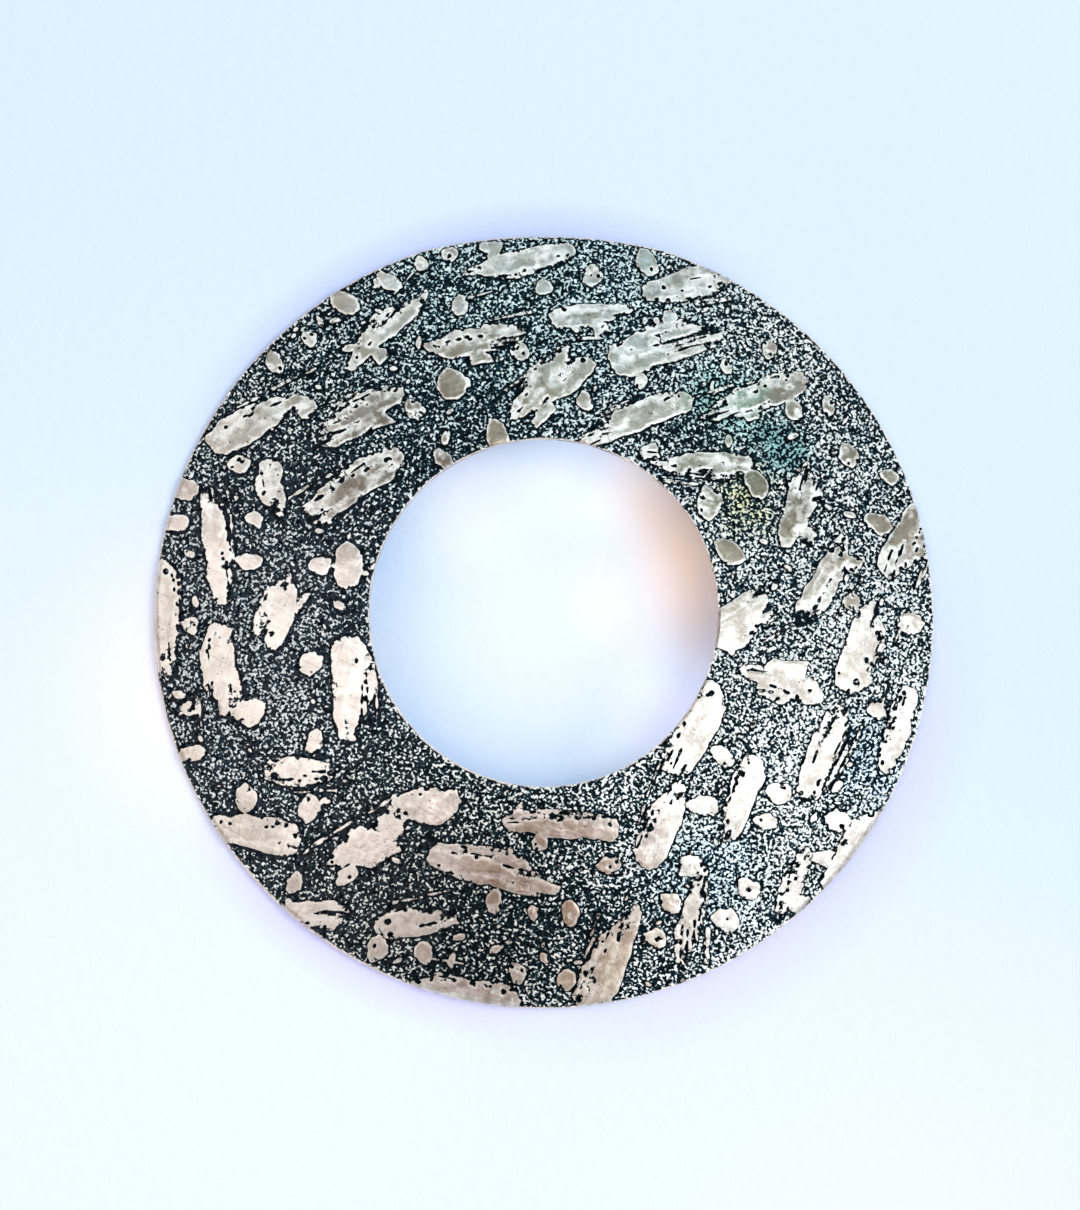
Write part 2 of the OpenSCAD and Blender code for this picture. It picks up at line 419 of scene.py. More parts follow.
for number, loop in enumerate(mark_loops):
    place, x, y = window(loop.min(axis=0) - ROUND_A_MARK, loop.max(axis=0) + ROUND_A_MARK)
    field[place] = np.maximum(field[place], brushed(x, y, loop, 20 * number))
print(f"marks cover {(field > 0).sum() * STEP**2:.0f} square mm of the grid")

# %% Crumbs of varnish between the marks
CRUMBS, CRUMB_STRETCH, ROUND_A_CRUMB = 190, 1.9, 1.0
CRUMB_SEED = 5000  # past the seeds of all the marks

for number in range(CRUMBS):
    r, bearing = math.sqrt(chance.uniform(hole_r**2, ring_r**2)), chance.uniform(0, 2 * math.pi)
    size, turn = 0.07 + 0.24 * chance.random() ** 2, chance.uniform(0, math.pi)
    spot = np.array([r * math.cos(bearing), r * math.sin(bearing)])
    place, x, y = window(spot - ROUND_A_CRUMB, spot + ROUND_A_CRUMB)
    u, v = turned_to(x, y, spot, (math.cos(turn), math.sin(turn)))
    crumb = size - np.hypot(u / CRUMB_STRETCH, v)
    crumb += 0.08 * noise(x, y, 0.32, CRUMB_SEED + number)
    field[place] = np.maximum(field[place], crumb)
print(CRUMBS, "crumbs")

# %% [markdown]
# ## From the field back to outlines
# The line where a field crosses a level is found by marching squares. Each grid cell whose
# corners lie on both sides holds a short piece of the line, with its ends on the cell's sides.
# Two levels are drawn: the top edge of a mark at 0, and its foot a little further out, because
# acid leaves a steep but not upright side.

# %% Marching squares
def level_lines(values, level):
    """Closed lines where the grid crosses a level, as arrays of x and y."""
    above = values > level
    spots, pairs = {}, []

    def crossing(i, j, upright):
        name = (i, j, upright)
        if name not in spots:
            k, m = (i + 1, j) if upright else (i, j + 1)
            share = (level - values[i, j]) / (values[k, m] - values[i, j])
            spots[name] = (grid_axis[0] + STEP * (j + (0 if upright else share)),
                           grid_axis[0] + STEP * (i + (share if upright else 0)))
        return name

    case = (above[:-1, :-1] * 1 + above[:-1, 1:] * 2 + above[1:, 1:] * 4 + above[1:, :-1] * 8)
    joins = {1: "LB", 2: "BR", 3: "LR", 4: "RT", 5: "LB RT", 6: "BT", 7: "LT",
             8: "TL", 9: "TB", 10: "BR TL", 11: "TR", 12: "RL", 13: "RB", 14: "BL"}
    for i, j in zip(*np.nonzero((case > 0) & (case < 15))):
        i, j = int(i), int(j)
        for join in joins[int(case[i, j])].split():
            pairs.append([crossing(*{"B": (i, j, False), "T": (i + 1, j, False),
                                     "L": (i, j, True), "R": (i, j + 1, True)}[side])
                          for side in join])
    beside = {}
    for a, b in pairs:
        beside.setdefault(a, []).append(b)
        beside.setdefault(b, []).append(a)
    lines = []
    while beside:
        start = here = next(iter(beside))
        line, came = [], None
        while here in beside:
            line.append(spots[here])
            ends = beside.pop(here)
            onward = ends[0] if ends[0] != came else ends[-1]
            came, here = here, onward
        lines.append(np.array(line))
    return lines


def thinned(line, slack):
    """A line without the points that lie nearly straight between their neighbours."""
    for _ in range(3):
        before, after = np.roll(line, 1, axis=0), np.roll(line, -1, axis=0)
        chord, side = after - before, line - before
        off = np.abs(chord[:, 0] * side[:, 1] - chord[:, 1] * side[:, 0])
        off /= np.hypot(chord[:, 0], chord[:, 1]) + 1e-9
        line = line[(off > slack) | (np.arange(len(line)) % 2 == 0)]
    return line


def area(line):
    """The area inside a closed line, in square millimetres."""
    x, y = line.T
    return abs(np.dot(x, np.roll(y, -1)) - np.dot(y, np.roll(x, -1))) / 2


SLOPE = 0.045  # how far a mark's foot lies outside its top edge
SMALLEST = 0.012  # square millimetres
SLACK = 0.007  # a point this near the line between its neighbours can go

outlines = []
for level in (0.0, -SLOPE):
    lines = [thinned(line, SLACK) for line in level_lines(field, level)
             if len(line) > 5 and area(line) > SMALLEST]
    outlines += lines
    print(len(lines), "lines at", level, "with", sum(map(len, lines)), "points")

# %% [markdown]
# ## The plate
# The plate's face could be a fine even grid, but at 0.1 mm that is half a million triangles.
# A constrained Delaunay triangulation takes the outlines as edges that it has to keep and fills
# the rest with points as close as each place needs: close on the rough ground, wide in the
# middle of a mark, closer again along its edge, and in rows along the bevels. Without the points
# along the edge, long triangles would join one side of a mark to the other and shade it like
# crumpled foil. Every point is then lifted on to its sphere. The edge walls and the back are
# made the same way and joined on, so the plate is one closed body.

# %% Heights and places
def sphere_z(radius, r):
    """The height of one of the ring's spheres at a distance from the axis."""
    return np.sqrt(radius**2 - r**2) + dome_z


def sampled(x, y):
    """The field between its grid points."""
    gx = np.clip((x + HALF_GRID) / STEP, 0, len(grid_axis) - 1.001)
    gy = np.clip((y + HALF_GRID) / STEP, 0, len(grid_axis) - 1.001)
    ix, iy = gx.astype(int), gy.astype(int)
    fx, fy = gx - ix, gy - iy
    return ((field[iy, ix] * (1 - fx) + field[iy, ix + 1] * fx) * (1 - fy)
            + (field[iy + 1, ix] * (1 - fx) + field[iy + 1, ix + 1] * fx) * fy)


GROUND_WEAR = 0.12  # how much lower than a mark the bare ground meets the ring's edge
UNEVEN = 0.03  # how far hammering leaves a mark's top from true
BEVEL_W = 0.36  # width of the strip along each edge that has its points in rows
BEVEL_ROWS = (0.08, 0.18, 0.3)  # how far those rows are from the edge


def face_z(x, y, on_mark):
    """The height of the worked face at a place, on a mark or on the ground between."""
    r = np.hypot(x, y)
    edge = np.minimum(rim_top + rim_at(np.arctan2(y, x)) - r, hole_top + r - hole_r)
    dips = UNEVEN * (0.5 + 0.5 * noise(x, y, 2.3, 901))
    mark = np.minimum(sphere_z(front_r, r) - dips, edge)
    ground = np.minimum(sphere_z(ground_r, r), edge - GROUND_WEAR)
    return np.where(on_mark, mark, ground)


def even_points(spacing, seed):
    """Points in a jittered honeycomb over the whole ring."""
    draw = np.random.default_rng(seed)
    rows = np.arange(-ring_r, ring_r, spacing * math.sqrt(0.75))
    points = np.array([(x + spacing / 2 * (k % 2), y) for k, y in enumerate(rows)
                       for x in np.arange(-ring_r, ring_r, spacing)])
    points += draw.uniform(-0.22, 0.22, points.shape) * spacing
    return points[(inside_rim(points) > BEVEL_W) & (radius_of(points) - hole_r > BEVEL_W)]


def turns(count):
    """Angles once round a circle."""
    return np.arange(count) / count * 2 * math.pi


def circle_points(count, inward=0.0, hole=False):
    """Points round the ring's outer edge or its hole, a given distance from it."""
    bearing = turns(count)
    r = np.full(count, hole_r) + inward if hole else rim_at(bearing) - inward
    return np.column_stack([r * np.cos(bearing), r * np.sin(bearing)])


# %% Triangulate with edges that have to stay
RIM_STEPS, HOLE_STEPS = 900, 400


def triangulated(rims, lines, loose):
    """Points and upward triangles of the sheet between the rims, with every line as edges."""
    points, edges, count = [], [], 0
    for loop in rims + lines:
        points.append(loop)
        ids = count + np.arange(len(loop))
        edges += list(zip(ids.tolist(), np.roll(ids, -1).tolist()))
        count += len(loop)
    rim_edges = sum(len(loop) for loop in rims)
    points = np.concatenate(points + [loose])
    made = delaunay_2d_cdt([Vector(p) for p in points.tolist()], edges, [], 0, 1e-5)
    flat, faces = np.array([vert[:] for vert in made[0]]), np.array(made[2])
    a, b, c = corners_of(flat, faces)
    downward = (b - a)[:, 0] * (c - a)[:, 1] - (b - a)[:, 1] * (c - a)[:, 0] < 0
    faces[downward] = faces[downward][:, ::-1]

    # What lies outside the sheet is filled from its far side, and a rim stops the filling.
    def names(pairs):
        pairs = np.sort(pairs, axis=1)
        return pairs[:, 0] * len(flat) + pairs[:, 1]

    side_names, side_of, used = np.unique(
        names(sides_of(faces)), return_inverse=True, return_counts=True)
    side_of = side_of.reshape(3, -1)
    rims_made = [pair for pair, came in zip(made[1], made[4])
                 if min(came, default=count) < rim_edges]
    is_rim = np.isin(side_names, names(np.array(rims_made)))
    outside = radius_of((a + b + c) / 3) < 0.9 * hole_r
    outside |= ((used == 1) & ~is_rim)[side_of].any(axis=0)
    filled = -1
    while outside.sum() > filled:
        filled = outside.sum()
        reached = np.zeros(len(side_names), dtype=bool)
        reached[side_of[:, outside]] = True
        outside |= (reached & ~is_rim)[side_of].any(axis=0)
    faces = faces[~outside]
    kept, again = np.unique(faces, return_inverse=True)
    return flat[kept], again.reshape(-1, 3)


# %% Fill the face
GROUND_GRAIN, MARK_GRAIN, MARK_EDGE_GRAIN = 0.205, 0.42, 0.22  # between mesh points
KEEP_OFF = 0.07  # loose points nearer than this to an outline would make slivers
BAND_FROM, BAND_TO = 0.06, 0.36  # how far inside a mark's edge its points are closer

ground_points = even_points(GROUND_GRAIN, 1)
ground_points = ground_points[sampled(*ground_points.T) < -SLOPE - KEEP_OFF]
mark_points = even_points(MARK_GRAIN, 2)
mark_points = mark_points[sampled(*mark_points.T) > BAND_TO]
beside_edge = even_points(MARK_EDGE_GRAIN, 4)
inside = sampled(*beside_edge.T)
beside_edge = beside_edge[(inside > BAND_FROM) & (inside < BAND_TO)]
bevel_points = np.concatenate([circle_points(RIM_STEPS, row) for row in BEVEL_ROWS]
                              + [circle_points(HOLE_STEPS, row, True) for row in BEVEL_ROWS])
inside = sampled(*bevel_points.T)
bevel_points = bevel_points[(inside > KEEP_OFF) | (inside < -SLOPE - KEEP_OFF)]
kept_outlines = [line for line in outlines
                 if radius_of(line).min() < ring_r and radius_of(line).max() > hole_r]
flat, face_triangles = triangulated(
    [circle_points(RIM_STEPS), circle_points(HOLE_STEPS, hole=True)], kept_outlines,
    np.concatenate([ground_points, mark_points, beside_edge, bevel_points]))
face_points = np.column_stack([flat, face_z(*flat.T, sampled(*flat.T) > -SLOPE / 2)])
print(len(face_points), "points and", len(face_triangles), "triangles in the face")

# %% Walls, foot and back
FOOT_W = 0.8  # width of the flat that the ring lies on
FOOT_STEPS = 720
BACK_GRAIN = 0.9


def strip(count, upper, lower):
    """Triangles between two rings of `count` points, whose first points are given."""
    k = np.arange(count)
    after = (k + 1) % count
    return np.concatenate([np.column_stack([upper + after, lower + k, upper + k]),
                           np.column_stack([lower + after, lower + k, upper + after])])


def stacked(parts):
    """Several lists of points and triangles as one."""
    starts = np.cumsum([0] + [len(p) for p, _ in parts[:-1]])
    return (np.concatenate([p for p, _ in parts]),
            np.concatenate([f + start for (_, f), start in zip(parts, starts)]))


def joined(parts):
    """One list of points and triangles from several, with equal points shared."""
    points, faces = stacked(parts)
    _, first, same = np.unique(np.round(points, 4), axis=0, return_index=True, return_inverse=True)
    return points[first], same.reshape(-1)[faces]


edge_rings = edge_loops(face_triangles)
print(len(edge_rings), "edges round the face, with", [len(loop) for loop in edge_rings], "points")
parts = [(face_points, face_triangles)]
below = []
for loop in edge_rings:
    top, bottom = face_points[loop], face_points[loop]
    r = radius_of(top)
    bottom[:, 2] = 0 if r.mean() > (ring_r + hole_r) / 2 else sphere_z(back_r, r)
    parts.append((np.concatenate([top, bottom]), strip(len(loop), 0, len(loop))))
    below.append(bottom[:, :2])
foot_inner = ring_r - FOOT_W
foot_circle = circle_points(FOOT_STEPS)
foot_circle *= (foot_inner / radius_of(foot_circle))[:, None]
loose = even_points(BACK_GRAIN, 3)
loose = loose[radius_of(loose) < foot_inner - BACK_GRAIN / 3]
back_flat, back_triangles = triangulated(below, [foot_circle], loose)
on_foot = radius_of(back_flat) > foot_inner - 1e-4
back_height = np.where(on_foot, 0, sphere_z(back_r, radius_of(back_flat)))
parts.append((np.column_stack([back_flat, back_height]), back_triangles[:, ::-1]))
plate_points, plate_triangles = joined(parts)
print(len(plate_triangles), "triangles in the plate, with",
      len(edge_loops(plate_triangles)), "open edges")

# %% [markdown]
# The plate also carries four numbers at each point, for the finishes to read. `etched` is 1 on
# the ground and 0 on a mark. `reach` is the distance to a mark's edge, above zero inside it. It
# never falls quite to zero on a mark, so that a triangle between three points of an outline still
# counts as silver. `bright` says how much of the ground was rubbed bright there: more towards
# the right, less in the upper half, at the lower left and beside the hole. `from_edge` is the
# distance to the ring's nearer edge.

# %% Make the plate
def add_object(name, data):
    made = bpy.data.objects.new(name, data)
    bpy.context.scene.collection.objects.link(made)
    return made


def mesh_object(name, points, triangles):
    mesh = bpy.data.meshes.new(name)
    mesh.from_pydata((points * MM).tolist(), [], triangles.tolist())
    return add_object(name, mesh)


def store(piece, name, values):
    layer = piece.data.attributes.new(name, "FLOAT", "POINT")
    layer.data.foreach_set("value", np.asarray(values, dtype=np.float32))


FACES_UP = 0.3  # a normal whose z is above this belongs to the worked face
WALL = 0.02  # and one whose z is this near 0 belongs to a wall

plate = mesh_object("etched_plate", plate_points, plate_triangles)
plate_normals, _ = facing(plate_points, plate_triangles)
turned_up = np.zeros(len(plate_points), dtype=bool)
turned_up[plate_triangles[plate_normals[:, 2] > FACES_UP]] = True

# %% Store the four numbers
LEAST_REACH, MOST_REACH = 0.025, 0.9  # the least is for points on a mark
MOST_FROM_EDGE = 2

x, y = plate_points[:, :2].T
reach = sampled(x, y)
etched = np.where(turned_up & (reach > -SLOPE / 2), 0.0, 1.0)
reach = np.where(etched == 0, np.maximum(reach, LEAST_REACH), reach)
r = radius_of(plate_points)
from_edge = np.minimum(inside_rim(plate_points), r - hole_r)
bright = (0.385
          + 0.042 * smooth(-18, 12, x + 0.2 * y) + 0.028 * smooth(10, 22, x)  # more at the right
          - 0.026 * smooth(-2, 8, y)  # less in the upper half
          - 0.036 * smooth(6, 17, -y) * smooth(16, 0, x)  # and at the lower left
          - 0.014 * smooth(12, 24, x) * smooth(-8, 2, y)
          + 0.010 * smooth(17, 25, np.maximum(-x, y))
          - 0.020 * smooth(24, 17, r) * smooth(12, 0, x - y)  # less beside the hole
          + 0.025 * noise(x, y, 6, 77) + 0.02 * noise(x, y, 1.6, 78))
store(plate, "etched", etched)
store(plate, "reach", np.clip(reach, -MOST_REACH, MOST_REACH))
store(plate, "bright", bright)
store(plate, "from_edge", np.clip(from_edge, 0, MOST_FROM_EDGE))
FACE, EDGE, BACK = 0, 1, 2
part_of = np.where(np.abs(plate_normals[:, 2]) < WALL, EDGE,
                   np.where(plate_normals[:, 2] < 0, BACK, FACE))
print(f"brightness from {bright.min():.2f} to {bright.max():.2f}")
print("triangles in face, edge and back:", np.bincount(part_of).tolist())

# %% [markdown]
# ## Small tools for node trees
# Materials and Geometry Nodes are both trees of nodes. A few helpers keep them short. One adds a
# node with its settings, and links each socket that it is given another socket for, or sets it
# to a plain number or colour. Others multiply, add, take a value from one range to another and
# mix colours. The last makes a group with named inputs and outputs.

# %% Node helpers
def connect(tree, made, sockets):
    for name, value in sockets.items():
        socket = made.inputs[name]
        if isinstance(value, bpy.types.NodeSocket):
            tree.links.new(value, socket)
        else:
            socket.default_value = (*value, 1) if socket.type == "RGBA" else value


def node(tree, kind, sockets=None, **settings):
    made = tree.nodes.new(kind)
    for name, value in settings.items():
        setattr(made, name, value)
    connect(tree, made, sockets or {})
    return made


def math_of(tree, operation, a, b=0.0):
    return node(tree, "ShaderNodeMath", {0: a, 1: b}, operation=operation).outputs[0]


def product(tree, made, *factors):
    for factor in factors:
        made = math_of(tree, "MULTIPLY", made, factor)
    return made


def total(tree, made, *terms):
    for term in terms:
        made = math_of(tree, "ADD", made, term)
    return made


def rest_of(tree, share):
    return math_of(tree, "SUBTRACT", 1.0, share)


def vector_of(tree, operation, a, b=(0.0, 0.0, 0.0)):
    made = node(tree, "ShaderNodeVectorMath", {0: a, 1: b}, operation=operation)
    is_number = operation in ("LENGTH", "DISTANCE", "DOT_PRODUCT")
    return made.outputs["Value" if is_number else "Vector"]


def ramp(tree, value, low, high, to_low=0.0, to_high=1.0, how="LINEAR"):
    """A value, taken from one range to another and kept inside it."""
    return node(tree, "ShaderNodeMapRange",
                {"Value": value, "From Min": low, "From Max": high,
                 "To Min": to_low, "To Max": to_high}, interpolation_type=how).outputs[0]


def blend(tree, share, first, second, how="MIX"):
    """Two colours mixed: the first where the share is 0, the second where it is 1."""
    return node(tree, "ShaderNodeMix", {0: share, 6: first, 7: second},
                data_type="RGBA", blend_type=how).outputs[2]


def noise_node(tree, place, scale, detail=0.0, roughness=0.5, distortion=0.0):
    return node(tree, "ShaderNodeTexNoise", {
        "Vector": place, "Scale": scale, "Detail": detail, "Roughness": roughness,
        "Distortion": distortion})


def strayed(tree, noise_made, reach):
    """A shift to any side, at most half of `reach`, by the three colours of a noise."""
    centred = vector_of(tree, "SUBTRACT", noise_made.outputs["Color"], (0.5, 0.5, 0.5))
    return vector_of(tree, "MULTIPLY", centred, reach)


def part_along(tree, vector, axis):
    return node(tree, "ShaderNodeSeparateXYZ", {0: vector}).outputs[axis]


def group(name, inputs, outputs, kind="ShaderNodeTree"):
    """An empty node group with named sockets, its inputs, and its end node."""
    tree = bpy.data.node_groups.new(name, kind)
    for socket_name, socket_kind, value in inputs:
        made = tree.interface.new_socket(socket_name, in_out="INPUT", socket_type=socket_kind)
        if value is not None:
            made.default_value = value
    for socket_name, socket_kind in outputs:
        tree.interface.new_socket(socket_name, in_out="OUTPUT", socket_type=socket_kind)
    return tree, node(tree, "NodeGroupInput").outputs, node(tree, "NodeGroupOutput")


FLOAT, VECTOR, SHAPE, WHOLE = (
    "NodeSocketFloat", "NodeSocketVector", "NodeSocketGeometry", "NodeSocketInt")

# %% [markdown]
# ## The etched grain as real relief
# Acid eats round the crystals of the metal, so the ground is a maze of hollows about a third of
# a millimetre apart. The same noise drives everything on it: Geometry Nodes lower and raise the
# ground's points by it here, the scattered grains stand on its peaks, and the finish turns its
# hollows black. Because one noise feeds all three, the shapes and the colours agree.

# %% Sink the ground
GRAIN_SCALE = 4600.0  # per metre, so that the hollows are about 0.3 mm apart
RAISED_PART = 0.72  # the noise's value that stays at its height; lower ones sink
GRAIN_DEPTH = 0.12 * MM


def grain_noise(tree, place):
    return noise_node(tree, place, GRAIN_SCALE, distortion=0.5).outputs[0]


def stored(tree, name):
    """A stored number, in a Geometry Nodes tree."""
    return node(tree, "GeometryNodeInputNamedAttribute", {"Name": name},
                data_type="FLOAT").outputs[0]


def on_worked_face(tree):
    normal = node(tree, "GeometryNodeInputNormal").outputs[0]
    return math_of(tree, "GREATER_THAN", part_along(tree, normal, "Z"), FACES_UP)


def relief_tree():
    tree, start, end = group("sink_the_ground", [
        ("Mesh", SHAPE, None), ("Depth", FLOAT, GRAIN_DEPTH)], [("Mesh", SHAPE)],
        "GeometryNodeTree")
    place = node(tree, "GeometryNodeInputPosition").outputs[0]
    level = math_of(tree, "SUBTRACT", grain_noise(tree, place), RAISED_PART)
    sink = product(tree, level, start["Depth"], 2.0, stored(tree, "etched"))
    moved = node(tree, "GeometryNodeSetPosition", {
        "Geometry": start["Mesh"], "Selection": on_worked_face(tree),
        "Offset": node(tree, "ShaderNodeCombineXYZ", {"Z": sink}).outputs[0]})
    connect(tree, end, {0: moved.outputs[0]})
    return tree


def set_inputs(modifier, tree, values):
    """Sets a modifier's inputs by the names that its tree gives them."""
    for item in tree.interface.items_tree:
        if item.item_type == "SOCKET" and item.in_out == "INPUT" and item.name in values:
            modifier[item.identifier] = values[item.name]


def settled(piece):
    """Makes an object's modifiers part of its mesh, and removes them."""
    graph = bpy.context.evaluated_depsgraph_get()
    mesh = bpy.data.meshes.new_from_object(
        piece.evaluated_get(graph), preserve_all_data_layers=True, depsgraph=graph)
    mesh.name = piece.name
    piece.modifiers.clear()
    piece.data = mesh
    return piece


def grown(piece, tree, **values):
    """Runs a Geometry Nodes tree on a piece with its inputs set, and keeps the result."""
    modifier = piece.modifiers.new(tree.name, "NODES")
    modifier.node_group = tree
    set_inputs(modifier, tree, values)
    return settled(piece)


grown(plate, relief_tree(), Depth=GRAIN_DEPTH)
heights = np.array([vert.co.z for vert in plate.data.vertices]) / MM
print(f"the ground sinks by up to {(plate_points[:, 2] - heights).max():.3f} mm")

# %% [markdown]
# ## The bright grains
# Where the noise peaks, a crystal stands up and the polishing cloth has rubbed it bright. There
# are thousands, so each is one small ball of 20 triangles, flattened, stretched and turned by
# chance, and then bent by noise so that no two are alike. They are scattered at least a set
# distance apart, kept only on peaks of the grain noise, and left out close to a mark, where the
# acid under the varnish's edge left a clean black line.

# %% Scatter the grains
GRAIN_GAP, GRAIN_SIZE = 0.2 * MM, 0.12 * MM
GRAINS_TRIED = 45 / MM**2  # a square metre, before the gap and the noise thin them out
PEAK = 0.99  # noise and brightness together, from which a grain shows
CLEAR_OF_MARK, CLEAR_OF_EDGE = 0.19, 0.12
BALL_FACES = 20


def grain_tree(finish):
    tree, start, end = group("scatter_grains", [
        ("Plate", SHAPE, None), ("Spacing", FLOAT, GRAIN_GAP), ("Density", FLOAT, GRAINS_TRIED),
        ("Size", FLOAT, GRAIN_SIZE), ("Seed", WHOLE, 28)], [("Grains", SHAPE)],
        "GeometryNodeTree")
    scattered = node(tree, "GeometryNodeDistributePointsOnFaces", {
        "Mesh": start["Plate"], "Selection": on_worked_face(tree), "Seed": start["Seed"],
        "Distance Min": start["Spacing"], "Density Max": start["Density"]},
        distribute_method="POISSON")
    place = node(tree, "GeometryNodeInputPosition").outputs[0]
    peak = total(tree, grain_noise(tree, place), stored(tree, "bright"))
    leave = math_of(tree, "LESS_THAN", peak, PEAK)
    for operation, name, limit in (("GREATER_THAN", "reach", -CLEAR_OF_MARK),
                                   ("LESS_THAN", "etched", 0.99),
                                   ("LESS_THAN", "from_edge", CLEAR_OF_EDGE)):
        off = math_of(tree, operation, stored(tree, name), limit)
        leave = math_of(tree, "MAXIMUM", leave, off)
    kept = node(tree, "GeometryNodeDeleteGeometry", {
        "Geometry": scattered.outputs["Points"], "Selection": leave}, domain="POINT")

    def chance_of(low, high, seed):
        return node(tree, "FunctionNodeRandomValue", {2: low, 3: high, "Seed": seed},
                    data_type="FLOAT").outputs[1]

    scale = node(tree, "ShaderNodeCombineXYZ", {
        axis: product(tree, start["Size"], chance_of(low, high, seed))
        for axis, low, high, seed in (("X", 0.6, 1.6, 1), ("Y", 0.35, 0.75, 2),
                                      ("Z", 0.45, 0.7, 3))}).outputs[0]
    turn = node(tree, "ShaderNodeCombineXYZ", {"Z": chance_of(0.0, math.pi, 4)}).outputs[0]
    rotation = node(tree, "FunctionNodeRotateRotation", {
        0: scattered.outputs["Rotation"], 1: turn}, rotation_space="LOCAL").outputs[0]
    ball = node(tree, "GeometryNodeMeshIcoSphere", {"Radius": 1.0, "Subdivisions": 1})
    balls = node(tree, "GeometryNodeInstanceOnPoints", {
        "Points": kept.outputs[0], "Instance": ball.outputs["Mesh"],
        "Rotation": rotation, "Scale": scale})
    real = node(tree, "GeometryNodeRealizeInstances", {0: balls.outputs[0]})
    bend = strayed(tree, noise_node(tree, place, 4200.0), (0.22 * MM, 0.22 * MM, 0.08 * MM))
    bent = node(tree, "GeometryNodeSetPosition", {0: real.outputs[0], "Offset": bend})
    soft = node(tree, "GeometryNodeSetShadeSmooth", {0: bent.outputs[0]})
    painted = node(tree, "GeometryNodeSetMaterial", {0: soft.outputs[0], "Material": finish})
    connect(tree, end, {0: painted.outputs[0]})
    return tree


# %% [markdown]
# ## Effects that several finishes share
# Silver that was blackened and rubbed carries the same marks everywhere: cloudy tarnish, hair
# scratches, and a few coloured stains. Each is one group, used with its own sizes in the face,
# the edge, the back and the pin. A group gives out a mask from 0 to 1, and the material decides
# what colour or roughness the mask brings. The soft round patch that places a stain also places
# the broad tints of painted shade and painted reflection on the face.

# %% Tarnish, scratches and soft patches
def tarnish_group():
    tree, start, end = group("tarnish_clouds", [
        ("Place", VECTOR, None), ("Size", FLOAT, 0.003), ("Seed", FLOAT, 0.0)], [("Mask", FLOAT)])
    shift = node(tree, "ShaderNodeCombineXYZ", {"Z": start["Seed"]}).outputs[0]
    clouds = noise_node(tree, vector_of(tree, "ADD", start["Place"], shift),
                        math_of(tree, "DIVIDE", 1.0, start["Size"]), 4.0, 0.62, 0.6)
    connect(tree, end, {0: ramp(tree, clouds.outputs[0], 0.36, 0.66)})
    return tree


def scratch_group():
    tree, start, end = group("hair_scratches", [
        ("Place", VECTOR, None), ("Angle", FLOAT, 0.0), ("Gap", FLOAT, 0.0006),
        ("Length", FLOAT, 0.008)], [("Mask", FLOAT)])
    turned = node(tree, "ShaderNodeVectorRotate", {
        "Vector": start["Place"], "Angle": start["Angle"]}, rotation_type="Z_AXIS").outputs[0]
    across = math_of(tree, "DIVIDE", 1.0, start["Gap"])
    along = math_of(tree, "DIVIDE", 1.0, start["Length"])
    scale = node(tree, "ShaderNodeCombineXYZ", {"X": along, "Y": across, "Z": along}).outputs[0]
    lines = noise_node(tree, vector_of(tree, "MULTIPLY", turned, scale), 1.0, 1.0).outputs[0]
    thin = math_of(tree, "ABSOLUTE", math_of(tree, "SUBTRACT", lines, 0.5))
    connect(tree, end, {0: ramp(tree, thin, 0.0, 0.02, 1.0, 0.0)})
    return tree


def soft_patch_group():
    tree, start, end = group("soft_patch", [
        ("Place", VECTOR, None), ("Middle", VECTOR, (0, 0, 0)), ("Radius", FLOAT, 0.004)],
        [("Mask", FLOAT)])
    shift = strayed(tree, noise_node(tree, start["Place"], 420.0, 3.0), (6 * MM, 6 * MM, 0.0))
    flat = vector_of(tree, "MULTIPLY", vector_of(tree, "ADD", start["Place"], shift), (1, 1, 0))
    away = vector_of(tree, "DISTANCE", flat, start["Middle"])
    share = math_of(tree, "DIVIDE", away, start["Radius"])
    connect(tree, end, {0: ramp(tree, share, 0.35, 1.0, 1.0, 0.0)})
    return tree


TARNISH, SCRATCHES, SOFT_PATCH = tarnish_group(), scratch_group(), soft_patch_group()


def named(values):
    """Socket names, such as "Base Color", in place of words such as base_color."""
    return {name.replace("_", " ").title().replace("Ior", "IOR"): value
            for name, value in values.items()}


def mask_of(tree, made_group, place, **values):
    return node(tree, "ShaderNodeGroup", {"Place": place, **named(values)},
                node_tree=made_group).outputs["Mask"]


def patch(tree, place, middle, radius):
    """A soft round patch's mask, from its middle and radius in millimetres: for stains, the thin
    blackening, and painted shade and reflection.
    """
    return mask_of(tree, SOFT_PATCH, place, middle=Vector((*middle, 0)) * MM, radius=radius * MM)


# %% [markdown]
# ## Finishes
# Each finish is a Principled material on Object coordinates, because every piece has its object
# at the origin and the pattern then stays in place whatever piece it is on.
#
# The worked face takes the most work, for it is two surfaces in one. The marks are smooth silver:
# cloudy and scratched, hammered and lined by the brush in the upper half, and pricked with
# pinholes. A noise finer than the mesh nibbles at their edges, which are rubbed bright and carry
# a painted highlight, stronger in the upper half. The ground is black in its hollows, blue grey
# on its slopes and bright on its peaks. At the left and the lower left the blackening is thin.
# Slate grey shows there, the marks lie flatter, and the dark line beside each mark is wider. That
# line is partly the acid's own black and partly painted shade at the marks' foot. Two lists of
# patches then tint the ground and the marks: a few are real stains, and the broad ones are painted
# shade and painted reflection by region. A worn line follows the ring's edge.

# %% Start a material
def finish(name):
    material = bpy.data.materials.new(name)
    material.use_nodes = True
    tree = material.node_tree
    place = node(tree, "ShaderNodeTexCoord").outputs["Object"]
    return material, tree, tree.nodes["Principled BSDF"], place


def feed(tree, shader, **values):
    connect(tree, shader, named(values))


def bumped(tree, height, distance, strength=1.0):
    return node(tree, "ShaderNodeBump", {
        "Height": height, "Distance": distance, "Strength": strength}).outputs[0]
